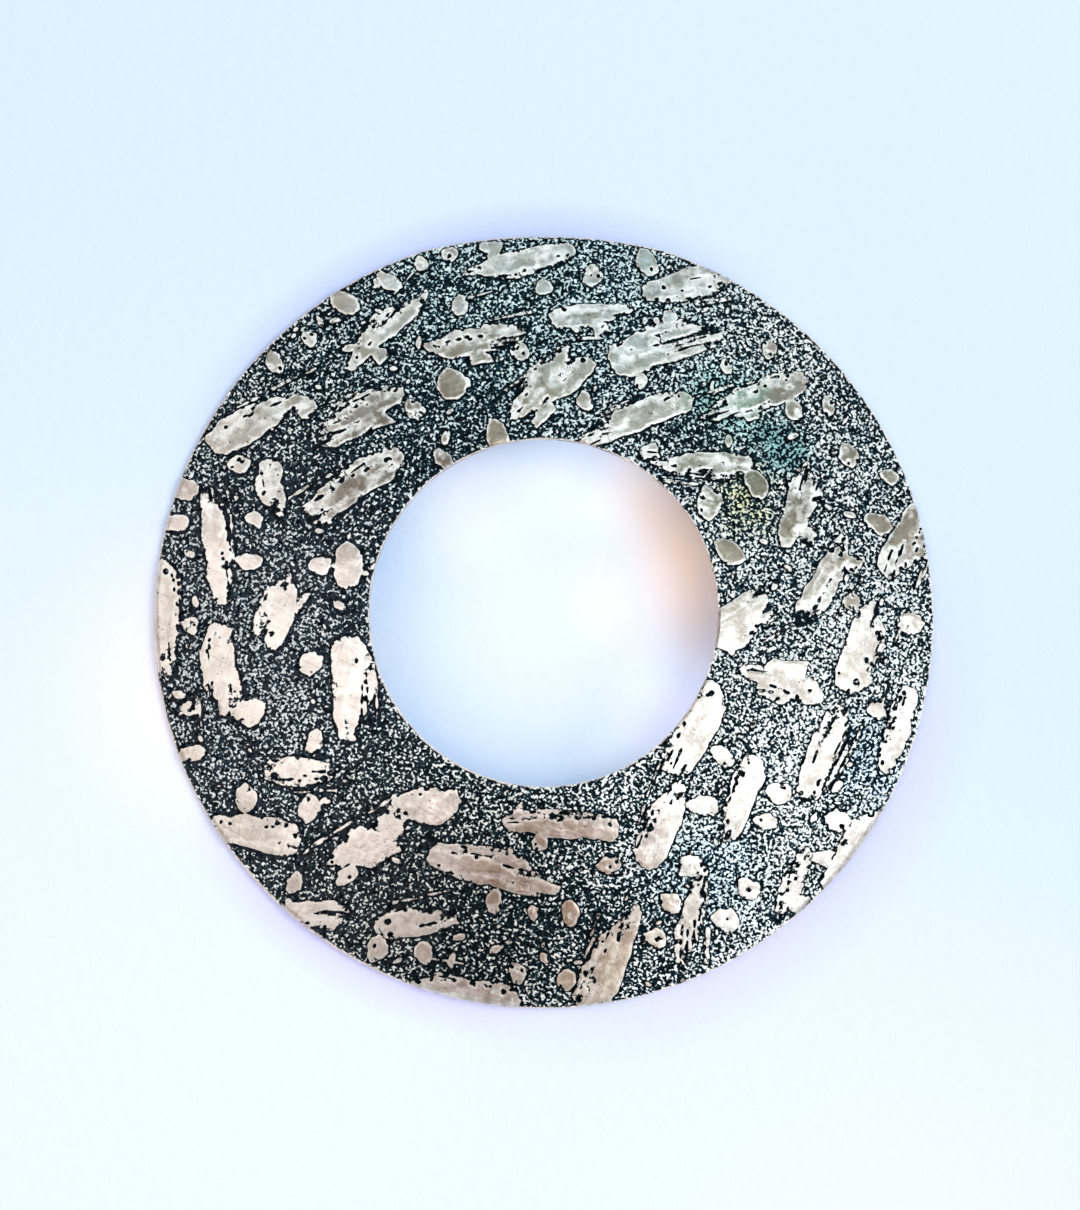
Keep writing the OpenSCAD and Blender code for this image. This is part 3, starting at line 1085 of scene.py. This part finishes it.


# %% The places and tints of the stains and of the painted light
# Patches on the ground and its grains. The first three, teal and olive at the upper right, are
# real stains of the blackening. The broad ones after them cool, grey or darken whole regions and
# dim the bright specks at the top: painted shade.
GROUND_STAINS_AND_PAINTED_SHADE = [  # middle, radius, tint, strength
    ((14.0, 16.2), 4.6, (0.24, 0.68, 0.64), 0.6),
    ((18.0, 13.0), 3.4, (0.18, 0.54, 0.54), 0.75),
    ((15.4, 8.8), 3.4, (0.80, 0.79, 0.42), 0.7),
    ((-2.0, 26.0), 21.0, (0.80, 0.97, 1.0), 0.9),
    ((24.5, -11.0), 5.0, (0.60, 0.84, 1.0), 0.45),
    ((12.0, -20.0), 6.0, (0.62, 0.88, 1.0), 0.4),
    ((-26.0, -3.0), 17.0, (0.74, 0.75, 0.78), 0.7),
    ((-8.0, -24.0), 16.0, (0.70, 0.66, 0.60), 0.8),
]
# Patches on the marks. The small teal one at the upper right is a real stain. The others tint and
# darken whole regions for the room that the silver mirrors there: painted reflection and painted
# shade.
MARK_STAINS_AND_PAINTED_LIGHT = [
    ((14.0, 16.2), 4.6, (0.46, 0.90, 0.84), 0.6),
    ((26.0, 11.0), 14.0, (0.50, 0.51, 0.46), 0.9),
    ((15.5, 6.0), 8.0, (0.55, 0.54, 0.46), 0.8),
    ((13.0, 13.0), 11.0, (0.70, 0.76, 0.70), 0.9),
    ((-4.0, 15.5), 8.5, (0.63, 0.58, 0.47), 0.85),
    ((8.0, 24.0), 7.0, (0.82, 0.88, 0.90), 0.8),
    ((-12.0, 11.0), 9.5, (0.38, 0.36, 0.32), 0.9),
    ((0.0, 28.0), 16.0, (0.84, 0.97, 1.0), 0.9),
    ((-19.0, 19.0), 12.0, (0.88, 0.98, 1.0), 0.9),
    ((1.0, -18.5), 10.5, (0.55, 0.45, 0.40), 0.85),
    ((4.0, -26.0), 10.0, (0.96, 0.85, 0.74), 0.9),
]


def stained_and_shaded(tree, place, colour, stains):
    """Coloured patches laid over a colour: stains of the blackening, and broad tints of painted
    shade and painted reflection.
    """
    for middle, radius, tint, strength in stains:
        share = product(tree, patch(tree, place, middle, radius), strength)
        colour = blend(tree, share, colour, tint, "MULTIPLY")
    return colour


# %% What the face's silver, ground and relief all read
def face_masks(tree, place):
    m = SimpleNamespace()
    for name in ("etched", "reach", "bright", "from_edge"):
        read = node(tree, "ShaderNodeAttribute", attribute_name=name)
        setattr(m, name, read.outputs["Fac"])
    m.grain = grain_noise(tree, place)
    m.fine = noise_node(tree, place, 2300.0, 3.0, 0.7).outputs[0]
    m.clouds = mask_of(tree, TARNISH, place, size=2.6 * MM)
    m.mottle = mask_of(tree, TARNISH, place, size=0.9 * MM, seed=3.0)
    m.scratches = math_of(
        tree, "MAXIMUM", mask_of(tree, SCRATCHES, place, angle=0.5, gap=0.5 * MM, length=9 * MM),
        mask_of(tree, SCRATCHES, place, angle=1.9, gap=0.8 * MM, length=6 * MM))
    m.upper = part_along(tree, place, "Y")
    m.slate_low = patch(tree, place, (-17, -19), 14)
    m.slate = math_of(tree, "MAXIMUM", patch(tree, place, (-26, -3), 22),
                      product(tree, m.slate_low, 0.75))
    m.calm = rest_of(tree, product(tree, m.slate, 0.7))

    # The acid also nibbled at the marks' edges, finer than the mesh can follow.
    nibbled = noise_node(tree, place, 3600.0, 2.0, 0.6).outputs[0]
    weak = noise_node(tree, place, 480.0, 1.0).outputs[0]
    nibbled = product(tree, ramp(tree, nibbled, 0.44, 0.70, 0.0, 0.13),
                      ramp(tree, weak, 0.42, 0.62, 0.1, 1.0))
    bare = ramp(tree, math_of(tree, "SUBTRACT", m.reach, nibbled), -0.012, 0.02, 1.0, 0.0)
    m.bare = math_of(tree, "MAXIMUM", bare, m.etched)
    return m


# %% The smooth silver of the marks
def smooth_silver(tree, place, m):
    """The marks' colour, and a mask of their bright edges, which are rubbed and carry a painted
    highlight.
    """
    colour = (0.97, 0.94, 0.93)
    for share, dark in (
            (product(tree, m.clouds, m.calm), (0.50, 0.44, 0.39)),
            (product(tree, m.mottle, m.calm, 0.55), (0.36, 0.32, 0.27)),
            (product(tree, ramp(tree, m.fine, 0.40, 0.64, 0.0, 0.5), m.calm), (0.40, 0.36, 0.31)),
            (product(tree, m.scratches, 0.3), (0.26, 0.24, 0.22))):
        colour = blend(tree, share, colour, dark)
    colour = stained_and_shaded(tree, place, colour, MARK_STAINS_AND_PAINTED_LIGHT)
    # The bright rim along each mark's edge: real rubbing, plus a painted highlight that is
    # stronger in the upper half.
    rubbed_edge_highlight = total(tree, m.reach, ramp(tree, m.mottle, 0.0, 1.0, -0.10, 0.12))
    rubbed_edge_highlight = product(tree, ramp(tree, rubbed_edge_highlight, 0.02, 0.24, 1.0, 0.0),
                     ramp(tree, m.upper, -6 * MM, 8 * MM, 0.3, 0.85))
    colour = blend(tree, rubbed_edge_highlight, colour, (0.95, 0.98, 0.98))
    pinholes = noise_node(tree, place, 4300.0, 1.0).outputs[0]
    pinholes = product(tree, ramp(tree, pinholes, 0.70, 0.74), ramp(tree, m.clouds, 0.25, 0.75))
    return blend(tree, pinholes, colour, (0.03, 0.035, 0.04)), rubbed_edge_highlight


# %% The blackened ground
def black_ground(tree, place, m):
    """The ground's colour, and a mask of its bright peaks."""
    # Fewer bright peaks close to each mark darken the ground there. This is partly the clean black
    # line that acid leaves under the varnish's edge and partly painted shade at the marks' foot,
    # wider where the blackening is thin at the left and lower left.
    beside = ramp(tree, m.reach, ramp(tree, m.slate, 0.0, 1.0, -0.17, -0.36), -0.06, 0.0, 0.18)
    peak = math_of(tree, "SUBTRACT", total(tree, m.grain, m.bright), beside)
    peak = math_of(tree, "SUBTRACT", peak, ramp(tree, m.reach, -0.06, 0.02, 0.0, 0.1))
    speckle = ramp(tree, peak, 0.965, 1.05)
    crust = noise_node(tree, place, 2600.0, 2.0).outputs[0]
    colour = blend(tree, ramp(tree, crust, 0.45, 0.7), (0.0010, 0.0032, 0.006),
                   (0.007, 0.019, 0.027))
    colour = blend(tree, product(tree, m.slate, ramp(tree, crust, 0.35, 0.65)), colour,
                   (0.034, 0.038, 0.052))
    colour = blend(tree, ramp(tree, peak, 0.87, 0.975, 0.0, 0.9), colour, (0.026, 0.080, 0.112))
    dulled = product(tree, ramp(tree, m.fine, 0.47, 0.60),
                     ramp(tree, m.upper, -12 * MM, 2 * MM, 0.3, 0.9))
    speck = blend(tree, dulled, (0.97, 1.0, 1.0), (0.52, 0.57, 0.60))
    colour = blend(tree, speckle, colour, speck)
    return stained_and_shaded(tree, place, colour, GROUND_STAINS_AND_PAINTED_SHADE), speckle


# %% The fine relief of both
def face_height(tree, place, m):
    on_mark, unbitten = rest_of(tree, m.etched), rest_of(tree, m.bare)
    hammered = noise_node(tree, place, 620.0, 1.0).outputs[0]
    relief = product(tree, ramp(tree, m.upper, -10 * MM, 10 * MM, 0.35, 1.0), m.calm)
    bristle = mask_of(tree, SCRATCHES, place, angle=-0.35, gap=0.22 * MM, length=3 * MM)
    lined = ramp(tree, m.upper, 2 * MM, 14 * MM, 0.0, 0.14)
    rounding = ramp(tree, m.reach, 0.0, 0.22, 0.0, 0.7, "SMOOTHSTEP")
    return total(
        tree, product(tree, m.etched, m.grain), product(tree, m.scratches, -0.03),
        product(tree, m.mottle, 0.02), product(tree, on_mark, hammered, relief, 0.75),
        product(tree, bristle, unbitten, lined), product(tree, unbitten, m.fine, 0.25),
        product(tree, rounding, on_mark, relief))


# %% The worked face
def face_finish():
    material, tree, shader, place = finish("etched_silver_face")
    m = face_masks(tree, place)
    silver, rubbed_edge_highlight = smooth_silver(tree, place, m)
    ground, speckle = black_ground(tree, place, m)
    worn_rim = total(tree, m.from_edge, ramp(tree, m.mottle, 0.0, 1.0, -0.05, 0.08),
                     product(tree, m.slate_low, -0.09))
    colour = blend(tree, ramp(tree, worn_rim, 0.04, 0.13, 0.85, 0.0),
                   blend(tree, m.bare, silver, ground), (0.86, 0.77, 0.73))

    def on_both(on_silver, on_ground):
        return node(tree, "ShaderNodeMix", {0: m.bare, 2: on_silver, 3: on_ground}).outputs[0]

    feed(tree, shader, base_color=colour, specular_ior_level=0.05,
         roughness=on_both(ramp(tree, m.clouds, 0.0, 1.0, 0.30, 0.42),
                           ramp(tree, speckle, 0.0, 1.0, 0.62, 0.36)),
         # The painted highlight on the marks' edges is less metallic, so that it stays bright
         # whatever it mirrors.
         metallic=on_both(rest_of(tree, product(tree, rubbed_edge_highlight, 0.6)), 0.15),
         normal=bumped(tree, face_height(tree, place, m), 0.1 * MM, 0.8))
    return material


# %% The bright grains
def grain_finish():
    material, tree, shader, place = finish("rubbed_silver_grains")
    clouds = mask_of(tree, TARNISH, place, size=1.1 * MM, seed=1.0)
    colour = blend(tree, clouds, (0.97, 0.99, 0.99), (0.70, 0.72, 0.72))
    feed(tree, shader, base_color=stained_and_shaded(tree, place, colour, GROUND_STAINS_AND_PAINTED_SHADE),
         roughness=ramp(tree, clouds, 0.0, 1.0, 0.28, 0.5), metallic=0.4)
    return material


# %% The cut edge and the back
def edge_finish():
    material, tree, shader, place = finish("filed_silver_edge")
    clouds = mask_of(tree, TARNISH, place, size=1.8 * MM, seed=5.0)
    file_marks = mask_of(tree, SCRATCHES, place, angle=0.0, gap=0.25 * MM, length=30 * MM)
    feed(tree, shader, base_color=blend(tree, clouds, (0.80, 0.72, 0.70), (0.16, 0.15, 0.15)),
         roughness=ramp(tree, clouds, 0.0, 1.0, 0.3, 0.55), metallic=1.0,
         normal=bumped(tree, file_marks, 0.01 * MM))
    return material


def back_finish():
    material, tree, shader, place = finish("plain_silver_back")
    clouds = mask_of(tree, TARNISH, place, size=9 * MM, seed=7.0)
    spots = mask_of(tree, TARNISH, place, size=1.2 * MM, seed=8.0)
    sanding = math_of(
        tree, "MAXIMUM", mask_of(tree, SCRATCHES, place, angle=0.9, gap=0.18 * MM, length=14 * MM),
        mask_of(tree, SCRATCHES, place, angle=1.15, gap=0.3 * MM, length=9 * MM))
    colour = blend(tree, clouds, (0.68, 0.66, 0.64), (0.38, 0.37, 0.37))
    colour = blend(tree, product(tree, spots, 0.25), colour, (0.22, 0.22, 0.23))
    colour = blend(tree, product(tree, sanding, 0.35), colour, (0.85, 0.83, 0.81))
    for middle in ((-14.0, 16.45), (14.0, 16.45)):  # the flame darkened the silver here
        heat = patch(tree, place, middle, 4.5)
        colour = blend(tree, product(tree, heat, 0.7), colour, (0.11, 0.095, 0.09))
    height = math_of(tree, "SUBTRACT", clouds, product(tree, sanding, 0.2))
    feed(tree, shader, base_color=colour, roughness=ramp(tree, clouds, 0.0, 1.0, 0.26, 0.4),
         metallic=1.0, normal=bumped(tree, height, 0.02 * MM, 0.6))
    return material


# %% Dress the plate and grow the grains
def dressed(piece, sharp, *finishes):
    """Gives a piece its finishes, and smooth shading but for edges sharper than an angle."""
    for made_finish in finishes:
        piece.data.materials.append(made_finish)
    piece.data.shade_smooth()
    piece.data.set_sharp_from_angle(angle=math.radians(sharp))


dressed(plate, 48, face_finish(), edge_finish(), back_finish())
plate.data.polygons.foreach_set("material_index", part_of.astype(np.int32))

grains = add_object("bright_grains", plate.data.copy())
grown(grains, grain_tree(grain_finish()), Spacing=GRAIN_GAP, Density=GRAINS_TRIED,
      Size=GRAIN_SIZE, Seed=28)
print(len(grains.data.polygons) // BALL_FACES, "grains,", len(grains.data.polygons), "triangles")

# %% [markdown]
# ## Hinge, catch and pin
# They are hidden behind the ring. The CAD has them as plain solids, and here they get the
# roundness of real findings: cheeks that flare where the solder ran, a rivet with domed heads,
# and a catch bent from strip. All are rings of points joined into a skin, so one helper makes
# them: it takes the rings in order and closes both ends.

# %% Skin over rings of points
def ring_of(x, y, z):
    """A ring of points from its x, y and z, each of them one number or one for each point."""
    return np.column_stack(np.broadcast_arrays(x, y, z))


def skin(rings):
    """Points and triangles of a closed skin over equal rings of points."""
    count, end = len(rings[0]), (len(rings) - 1) * len(rings[0])
    points = np.concatenate(list(rings) + [[rings[0].mean(axis=0)], [rings[-1].mean(axis=0)]])
    faces = [strip(count, start, start + count) for start in range(0, end, count)]
    k = np.arange(count)
    after = (k + 1) % count
    first, last = len(points) - 2, len(points) - 1
    return points, np.concatenate(faces + [ring_of(first, after, k),
                                           ring_of(last, end + k, end + after)])


def rounded(half_x, half_y, count=40, power=5.0):
    """A rectangle with round corners, as a ring of points round the origin."""
    c, s = np.cos(turns(count)), np.sin(turns(count))
    return (half_x * np.sign(c) * np.abs(c) ** (2 / power),
            half_y * np.sign(s) * np.abs(s) ** (2 / power))


def outward(points, faces):
    """The same skin with its faces turned outwards."""
    a, b, c = corners_of(points, faces)
    volume = np.einsum("ij,ij->i", a, np.cross(b, c)).sum()
    return points, (faces if volume > 0 else faces[:, ::-1])


# %% Hinge and catch
pin_low, pin_high = (np.array(corner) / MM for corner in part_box("pin_wire"))
EYE_R, EYE_W, BORE_R, WIRE_R = 0.75, 0.9, 0.35, 0.4
CHEEK_R, CHEEK_T, RUNNING_GAP = 0.85, 0.5, 0.05
CATCH_X, CATCH_L, HOOK_R, HOOK_T, NECK_W = 14.0, 1.4, 0.675, 0.35, 0.8
SOLDERED_IN = 0.3  # how far the cheeks and the catch reach into the sheet
hinge_x = pin_low[0] + EYE_R
pin_y, pin_z = (pin_low[1:] + pin_high[1:]) / 2


def back_z(x, y):
    return sphere_z(back_r, np.hypot(x, y))


def flared(z, top, tall, wide):
    """How much wider a fitting is at a height, where the solder ran up to the back."""
    return max(0.0, (z - (top - tall)) / tall) ** 3 * wide


def cheek(y_middle):
    """One cheek of the hinge, from its round end to where it meets the back."""
    top = back_z(hinge_x, y_middle) + SOLDERED_IN + 0.02
    rings = []
    for z in np.concatenate([pin_z - CHEEK_R * np.cos(np.linspace(0.06, math.pi / 2, 12)),
                             np.linspace(pin_z + 0.1, top, 10)]):
        width = math.sqrt(max(CHEEK_R**2 - (pin_z - z) ** 2, 0.0025)) if z < pin_z else CHEEK_R
        flare = flared(z, top, 0.75, 0.28)
        edge = 0.86 + 0.14 * min(1, (z - pin_z + CHEEK_R) / 0.12)
        across, through = rounded(width + flare, CHEEK_T / 2 * edge + flare * 0.8)
        rings.append(ring_of(hinge_x + across, y_middle + through, z))
    return outward(*skin(rings))


def rivet():
    """The rivet that the pin turns on, with a domed head beyond each cheek."""
    beyond = EYE_W / 2 + RUNNING_GAP + CHEEK_T
    half = [(beyond - 0.02, 0.28), (beyond - 0.01, 0.42), (beyond + 0.05, 0.41),
            (beyond + 0.11, 0.33), (beyond + 0.15, 0.16)]
    t = turns(28)
    return outward(*skin([ring_of(hinge_x + r * np.cos(t), pin_y + y, pin_z + r * np.sin(t))
                          for y, r in [(-y, r) for y, r in reversed(half)] + half]))


def catch():
    """A hook bent from strip round the pin, open towards the ring's middle."""
    opening = math.asin(WIRE_R / HOOK_R) + 0.12
    rings = []
    for angle in np.linspace(math.pi + opening, 3 * math.pi - opening, 44):
        end = min(angle - math.pi - opening, 3 * math.pi - opening - angle)
        across, through = rounded(CATCH_L / 2 * min(1, 0.86 + end),
                                  HOOK_T / 2 * min(1, 0.45 + 3.0 * end), power=4.0)
        r = HOOK_R + through
        rings.append(ring_of(CATCH_X + across, pin_y + r * math.cos(angle),
                             pin_z + r * math.sin(angle)))
    return outward(*skin(rings))


def catch_neck():
    top = back_z(CATCH_X, pin_y) + SOLDERED_IN
    rings = []
    for z in np.linspace(pin_z + HOOK_R - 0.1, top, 10):
        flare = flared(z, top, 0.7, 0.3)
        across, through = rounded(CATCH_L / 2 + flare, NECK_W / 2 + flare)
        rings.append(ring_of(CATCH_X + across, pin_y + through, z))
    return outward(*skin(rings))


cheek_y = EYE_W / 2 + RUNNING_GAP + CHEEK_T / 2
fittings = mesh_object("hinge_and_catch", *stacked(
    [cheek(pin_y - cheek_y), cheek(pin_y + cheek_y), rivet(), catch(), catch_neck()]))
dressed(fittings, 50, edge_finish())
print("hinge and catch:", len(fittings.data.polygons), "triangles")

# %% [markdown]
# The pin is spring wire, drawn through a die, so fine lines run along it. One end is coiled into
# an eye for the rivet, and the other is ground to a point.

# %% The pin
POINT_L, TIP_R = 3.0, 0.08  # the ground point's length, and its radius just before its end
EYE_STEPS, SECTION_STEPS = 48, 28


def shank():
    tip_x = pin_high[0]
    point_from = tip_x - POINT_L
    stations = np.concatenate([np.linspace(hinge_x + BORE_R + 0.12, point_from, 60),
                               np.linspace(point_from, tip_x - 0.06, 16)[1:]])
    radii = WIRE_R - (WIRE_R - TIP_R) * np.maximum(0, (stations - point_from) / POINT_L)
    t = turns(32)
    return outward(*skin([ring_of(x, pin_y + r * np.cos(t), pin_z + r * np.sin(t))
                          for x, r in [*zip(stations, radii), (tip_x, 0.03)]]))


def eye():
    """The wire's flattened end, led once round the rivet."""
    across, through = rounded((EYE_R - BORE_R) / 2, EYE_W / 2, SECTION_STEPS, 3.4)
    r = (EYE_R + BORE_R) / 2 + across
    rings = [ring_of(hinge_x + r * math.cos(a), pin_y + through, pin_z + r * math.sin(a))
             for a in turns(EYE_STEPS)]
    points = np.concatenate(rings)
    starts = SECTION_STEPS * np.arange(EYE_STEPS)
    return outward(points, np.concatenate([strip(SECTION_STEPS, after, start) for start, after
                                           in zip(starts, np.roll(starts, -1))]))


def steel_finish():
    material, tree, shader, place = finish("drawn_steel")
    drawn = mask_of(tree, SCRATCHES, place, angle=0.0, gap=0.05 * MM, length=12 * MM)
    clouds = mask_of(tree, TARNISH, place, size=2.0 * MM, seed=9.0)
    feed(tree, shader, base_color=blend(tree, clouds, (0.66, 0.66, 0.67), (0.47, 0.46, 0.46)),
         roughness=ramp(tree, clouds, 0.0, 1.0, 0.2, 0.34), metallic=1.0,
         normal=bumped(tree, drawn, 0.004 * MM))
    return material


pin = mesh_object("pin", *stacked([shank(), eye()]))
dressed(pin, 50, steel_finish())
print("pin:", len(pin.data.polygons), "triangles")

# %% [markdown]
# ## What each piece stands for
# The ring's CAD solid is one soldered body, so three pieces stand for it together: the plate,
# its grains, and the hinge and catch. With no joint modelled, everything rides on the root.

# %% Ride on the root and hide the CAD parts
for piece, stands_for, material_slot in ((plate, "etched_ring", "oxidised_silver"),
                                         (grains, "etched_ring", "oxidised_silver"),
                                         (fittings, "etched_ring", "oxidised_silver"),
                                         (pin, "pin_wire", "pin_steel")):
    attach(piece, "root")
    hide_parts(stands_for)
    print(piece.name, "stands for", stands_for)

# %% [markdown]
# ## The paper
# The brooch lies on pale watercolour paper. Its tooth is slight, so a bump is enough. Light and
# shade on it are painted into its colour and into a glow of its own. Painted warm light lies on
# the right side of the hole, for what the ring's wall throws back, and painted shade on the rest
# of the hole. The colour is lighter towards the lower left and in the hole's middle, soft painted
# glows lie in the hole, at the ring's left and at the lower right, and a faint painted shade
# follows the ring's outer edge above and below. The sheet is far wider than the picture, so that
# a view from the side doesn't show its end.

# %% Lay the paper
PAPER_W = 2400.0
IN_HOLE = 16.0  # paper nearer the axis than this is seen through the hole
HOLE_GLOWS = [  # middle, radius, light
    ((11.0, -7.5), 8.5, (0.34, 0.27, 0.28)),
    ((3.8, 12.5), 9.5, (0.30, 0.27, 0.24)),
    ((-6.0, 10.0), 9.5, (0.19, 0.13, 0.06)),
    ((6.0, -11.0), 5.0, (0.12, 0.11, 0.08)),
    ((6.5, 1.5), 7.5, (0.15, 0.04, 0.0)),
]
OUTER_GLOWS = [
    ((-25.0, -5.0), 18.0, (0.21, 0.07, 0.0)),
    ((36.0, -52.0), 50.0, (0.12, 0.06, 0.0)),
]
OUTER_SHADES = [  # towards, from which cosine to which, width, tint
    ((-0.26, 0.97), 0.60, 0.95, 2.6, (0.80, 0.80, 0.97)),
    ((0.71, -0.71), 0.50, 0.95, 5.0, (0.94, 0.86, 1.0)),
    ((-0.50, -0.87), 0.86, 0.98, 2.8, (0.91, 0.81, 1.0)),
]
SHADE_FROM = 30.2  # just past the ring's outer edge


def glow(tree, place, middle, radius):
    """A soft round patch, 1 in the middle and 0 at its radius, in millimetres."""
    away = vector_of(tree, "DISTANCE", place, Vector((*middle, 0)) * MM)
    return ramp(tree, away, radius * MM, 0.0, how="SMOOTHERSTEP")


def paper_finish():
    material, tree, shader, place = finish("pale_paper")
    from_axis = vector_of(tree, "LENGTH", place)
    way = vector_of(tree, "NORMALIZE", place)
    within = math_of(tree, "LESS_THAN", from_axis, IN_HOLE * MM)

    def on_side(towards, low, high):
        return ramp(tree, vector_of(tree, "DOT_PRODUCT", way, (*towards, 0.0)), low, high)

    # Painted light: the paper is lighter towards the lower left and in the hole's middle.
    colour = blend(tree, glow(tree, place, (-30, -42), 95), (0.51, 0.55, 0.52),
                   (0.64, 0.64, 0.57))
    colour = blend(tree, glow(tree, place, (0, 0), 14), colour, (0.65, 0.66, 0.55))

    # Painted warm light, for what the ring's wall throws back on to the paper beside it.
    painted_warm_light = product(tree, ramp(tree, from_axis, 7.4 * MM, 11.6 * MM),
                   on_side((0.906, 0.423), 0.66, 1.0), within)
    colour = blend(tree, painted_warm_light, colour, (0.85, 0.65, 0.54))
    shaded = product(tree, within, ramp(tree, from_axis, 8.0 * MM, 12.6 * MM))
    colour = blend(tree, shaded, colour, (0.87, 0.92, 0.99), "MULTIPLY")
    # The paper glows a little, bluish, warmer under the painted warm light, with brighter painted
    # glows in the hole and beside the ring: all painted light.
    shine = blend(tree, painted_warm_light, (0.11, 0.20, 0.42), (0.29, 0.23, 0.20))
    for middle, radius, light in HOLE_GLOWS:
        lit = product(tree, glow(tree, place, middle, radius), within)
        shine = blend(tree, lit, shine, light, "ADD")
    for middle, radius, light in OUTER_GLOWS:
        shine = blend(tree, glow(tree, place, middle, radius), shine, light, "ADD")

    # A faint shade lies along the ring: blue above it, lavender at its lower right and left.
    for towards, low, high, width, tint in OUTER_SHADES:
        shade = product(
            tree, on_side(towards, low, high),
            ramp(tree, from_axis, SHADE_FROM * MM, (SHADE_FROM + width) * MM, 1.0, 0.0),
            rest_of(tree, within))
        colour = blend(tree, shade, colour, tint, "MULTIPLY")
        shine = blend(tree, shade, shine, tint, "MULTIPLY")
    tooth = noise_node(tree, place, 900.0, 3.0, 0.6).outputs[0]
    feed(tree, shader, base_color=colour, roughness=0.9, specular_ior_level=0.2,
         normal=bumped(tree, tooth, 0.25 * MM, 0.35),
         emission_color=shine, emission_strength=1.0)
    return material


sheet = np.array([[-1, -1, 0], [1, -1, 0], [1, 1, 0], [-1, 1, 0]]) * PAPER_W / 2
paper = mesh_object("paper", sheet, np.array([[0, 1, 2], [0, 2, 3]]))
paper.data.materials.append(paper_finish())
print("paper laid")

# %% [markdown]
# ## Camera and light
# The picture was taken from almost straight above, a little from the wearer's lower side. Metal
# shows what stands round it, so the room makes most of the look. It is painted in the world: a
# dull brown base and soft lobes, each with a direction, a half width and a colour that is added
# or, below zero, taken away. One broad pale lobe is the ceiling. The dark ones are where the
# marks look dull, and the small bright ones where they shine. A large lamp at the right throws
# the one soft shadow. The metal doesn't mirror it, because its image would burn out the marks.

# %% Camera
CAMERA_AWAY, CAMERA_TILT, LENS = 0.30, math.radians(5.0), 130.7
AIM = Vector((-0.29, 0.74, 2.5)) * MM
camera = add_object("camera", bpy.data.cameras.new("camera"))
camera.location = AIM + CAMERA_AWAY * Vector((0, -math.sin(CAMERA_TILT), math.cos(CAMERA_TILT)))
camera.rotation_euler = (CAMERA_TILT, 0, 0)
camera.data.lens = LENS
camera.data.sensor_fit = "HORIZONTAL"
camera.data.clip_start = 0.01
bpy.context.scene.camera = camera
print("camera at", [round(v, 4) for v in camera.location])

# %% World and window
ROOM = (0.45, 0.34, 0.24)
LOBES = [  # towards, half width in degrees, colour
    ((0.11, 0.37, 0.92), 60, (1.25, 1.26, 1.27)),
    ((0.43, -0.59, 0.68), 60, (0.28, 0.42, 0.52)),
    ((0.24, 0.64, 0.73), 41, (-0.96, -0.79, -0.74)),
    ((-0.11, -0.44, 0.89), 16, (-1.42, -1.64, -1.70)),
    ((0.57, 0.29, 0.76), 18, (-0.60, -0.79, -0.90)),
    ((-0.31, 0.40, 0.86), 21, (-0.69, -0.76, -0.73)),
    ((0.34, 0.66, 0.67), 15, (0.17, 0.31, 0.47)),
    ((0.50, -0.27, 0.82), 26, (0.74, 0.82, 0.88)),
    ((-0.31, -0.26, 0.91), 14, (0.62, 0.58, 0.56)),
    ((0.12, 0.48, 0.86), 11, (0.24, 0.34, 0.34)),
    ((-0.30, 0.59, 0.75), 20, (0.14, 0.25, 0.32)),
    ((0.50, -0.10, 0.86), 18, (0.26, 0.31, 0.35)),
    ((0.0, 0.0, -1.0), 85, (0.15, 0.26, 0.36)),
]


def paint_room():
    world = bpy.data.worlds.new("pale_room")
    bpy.context.scene.world = world
    world.use_nodes = True
    tree = world.node_tree
    towards = vector_of(tree, "NORMALIZE", node(tree, "ShaderNodeTexCoord").outputs["Generated"])
    light = ROOM
    for direction, half_width, colour in LOBES:
        facing_it = vector_of(tree, "DOT_PRODUCT", towards, Vector(direction).normalized())
        lobe = ramp(tree, facing_it, math.cos(math.radians(half_width * 1.25)),
                    math.cos(math.radians(half_width * 0.35)), how="SMOOTHSTEP")
        added = node(tree, "ShaderNodeVectorMath", {0: colour, "Scale": lobe}, operation="SCALE")
        light = vector_of(tree, "ADD", light, added.outputs[0])
    connect(tree, tree.nodes["Background"], {"Color": light})


paint_room()
window_light = bpy.data.lights.new("window", "AREA")
window_light.energy, window_light.size = 0.85, 0.22
window_light.color = (0.88, 0.95, 1.0)
lamp = add_object("window", window_light)
lamp.location = Vector((0.30, 0.09, 0.39))
lamp.visible_glossy = False  # the metal mirrors the painted room and not the lamp
lamp.rotation_euler = (-lamp.location).to_track_quat("-Z", "Y").to_euler()
bpy.context.scene.view_settings.view_transform = "Standard"
print("room painted, with", len(LOBES), "lobes")
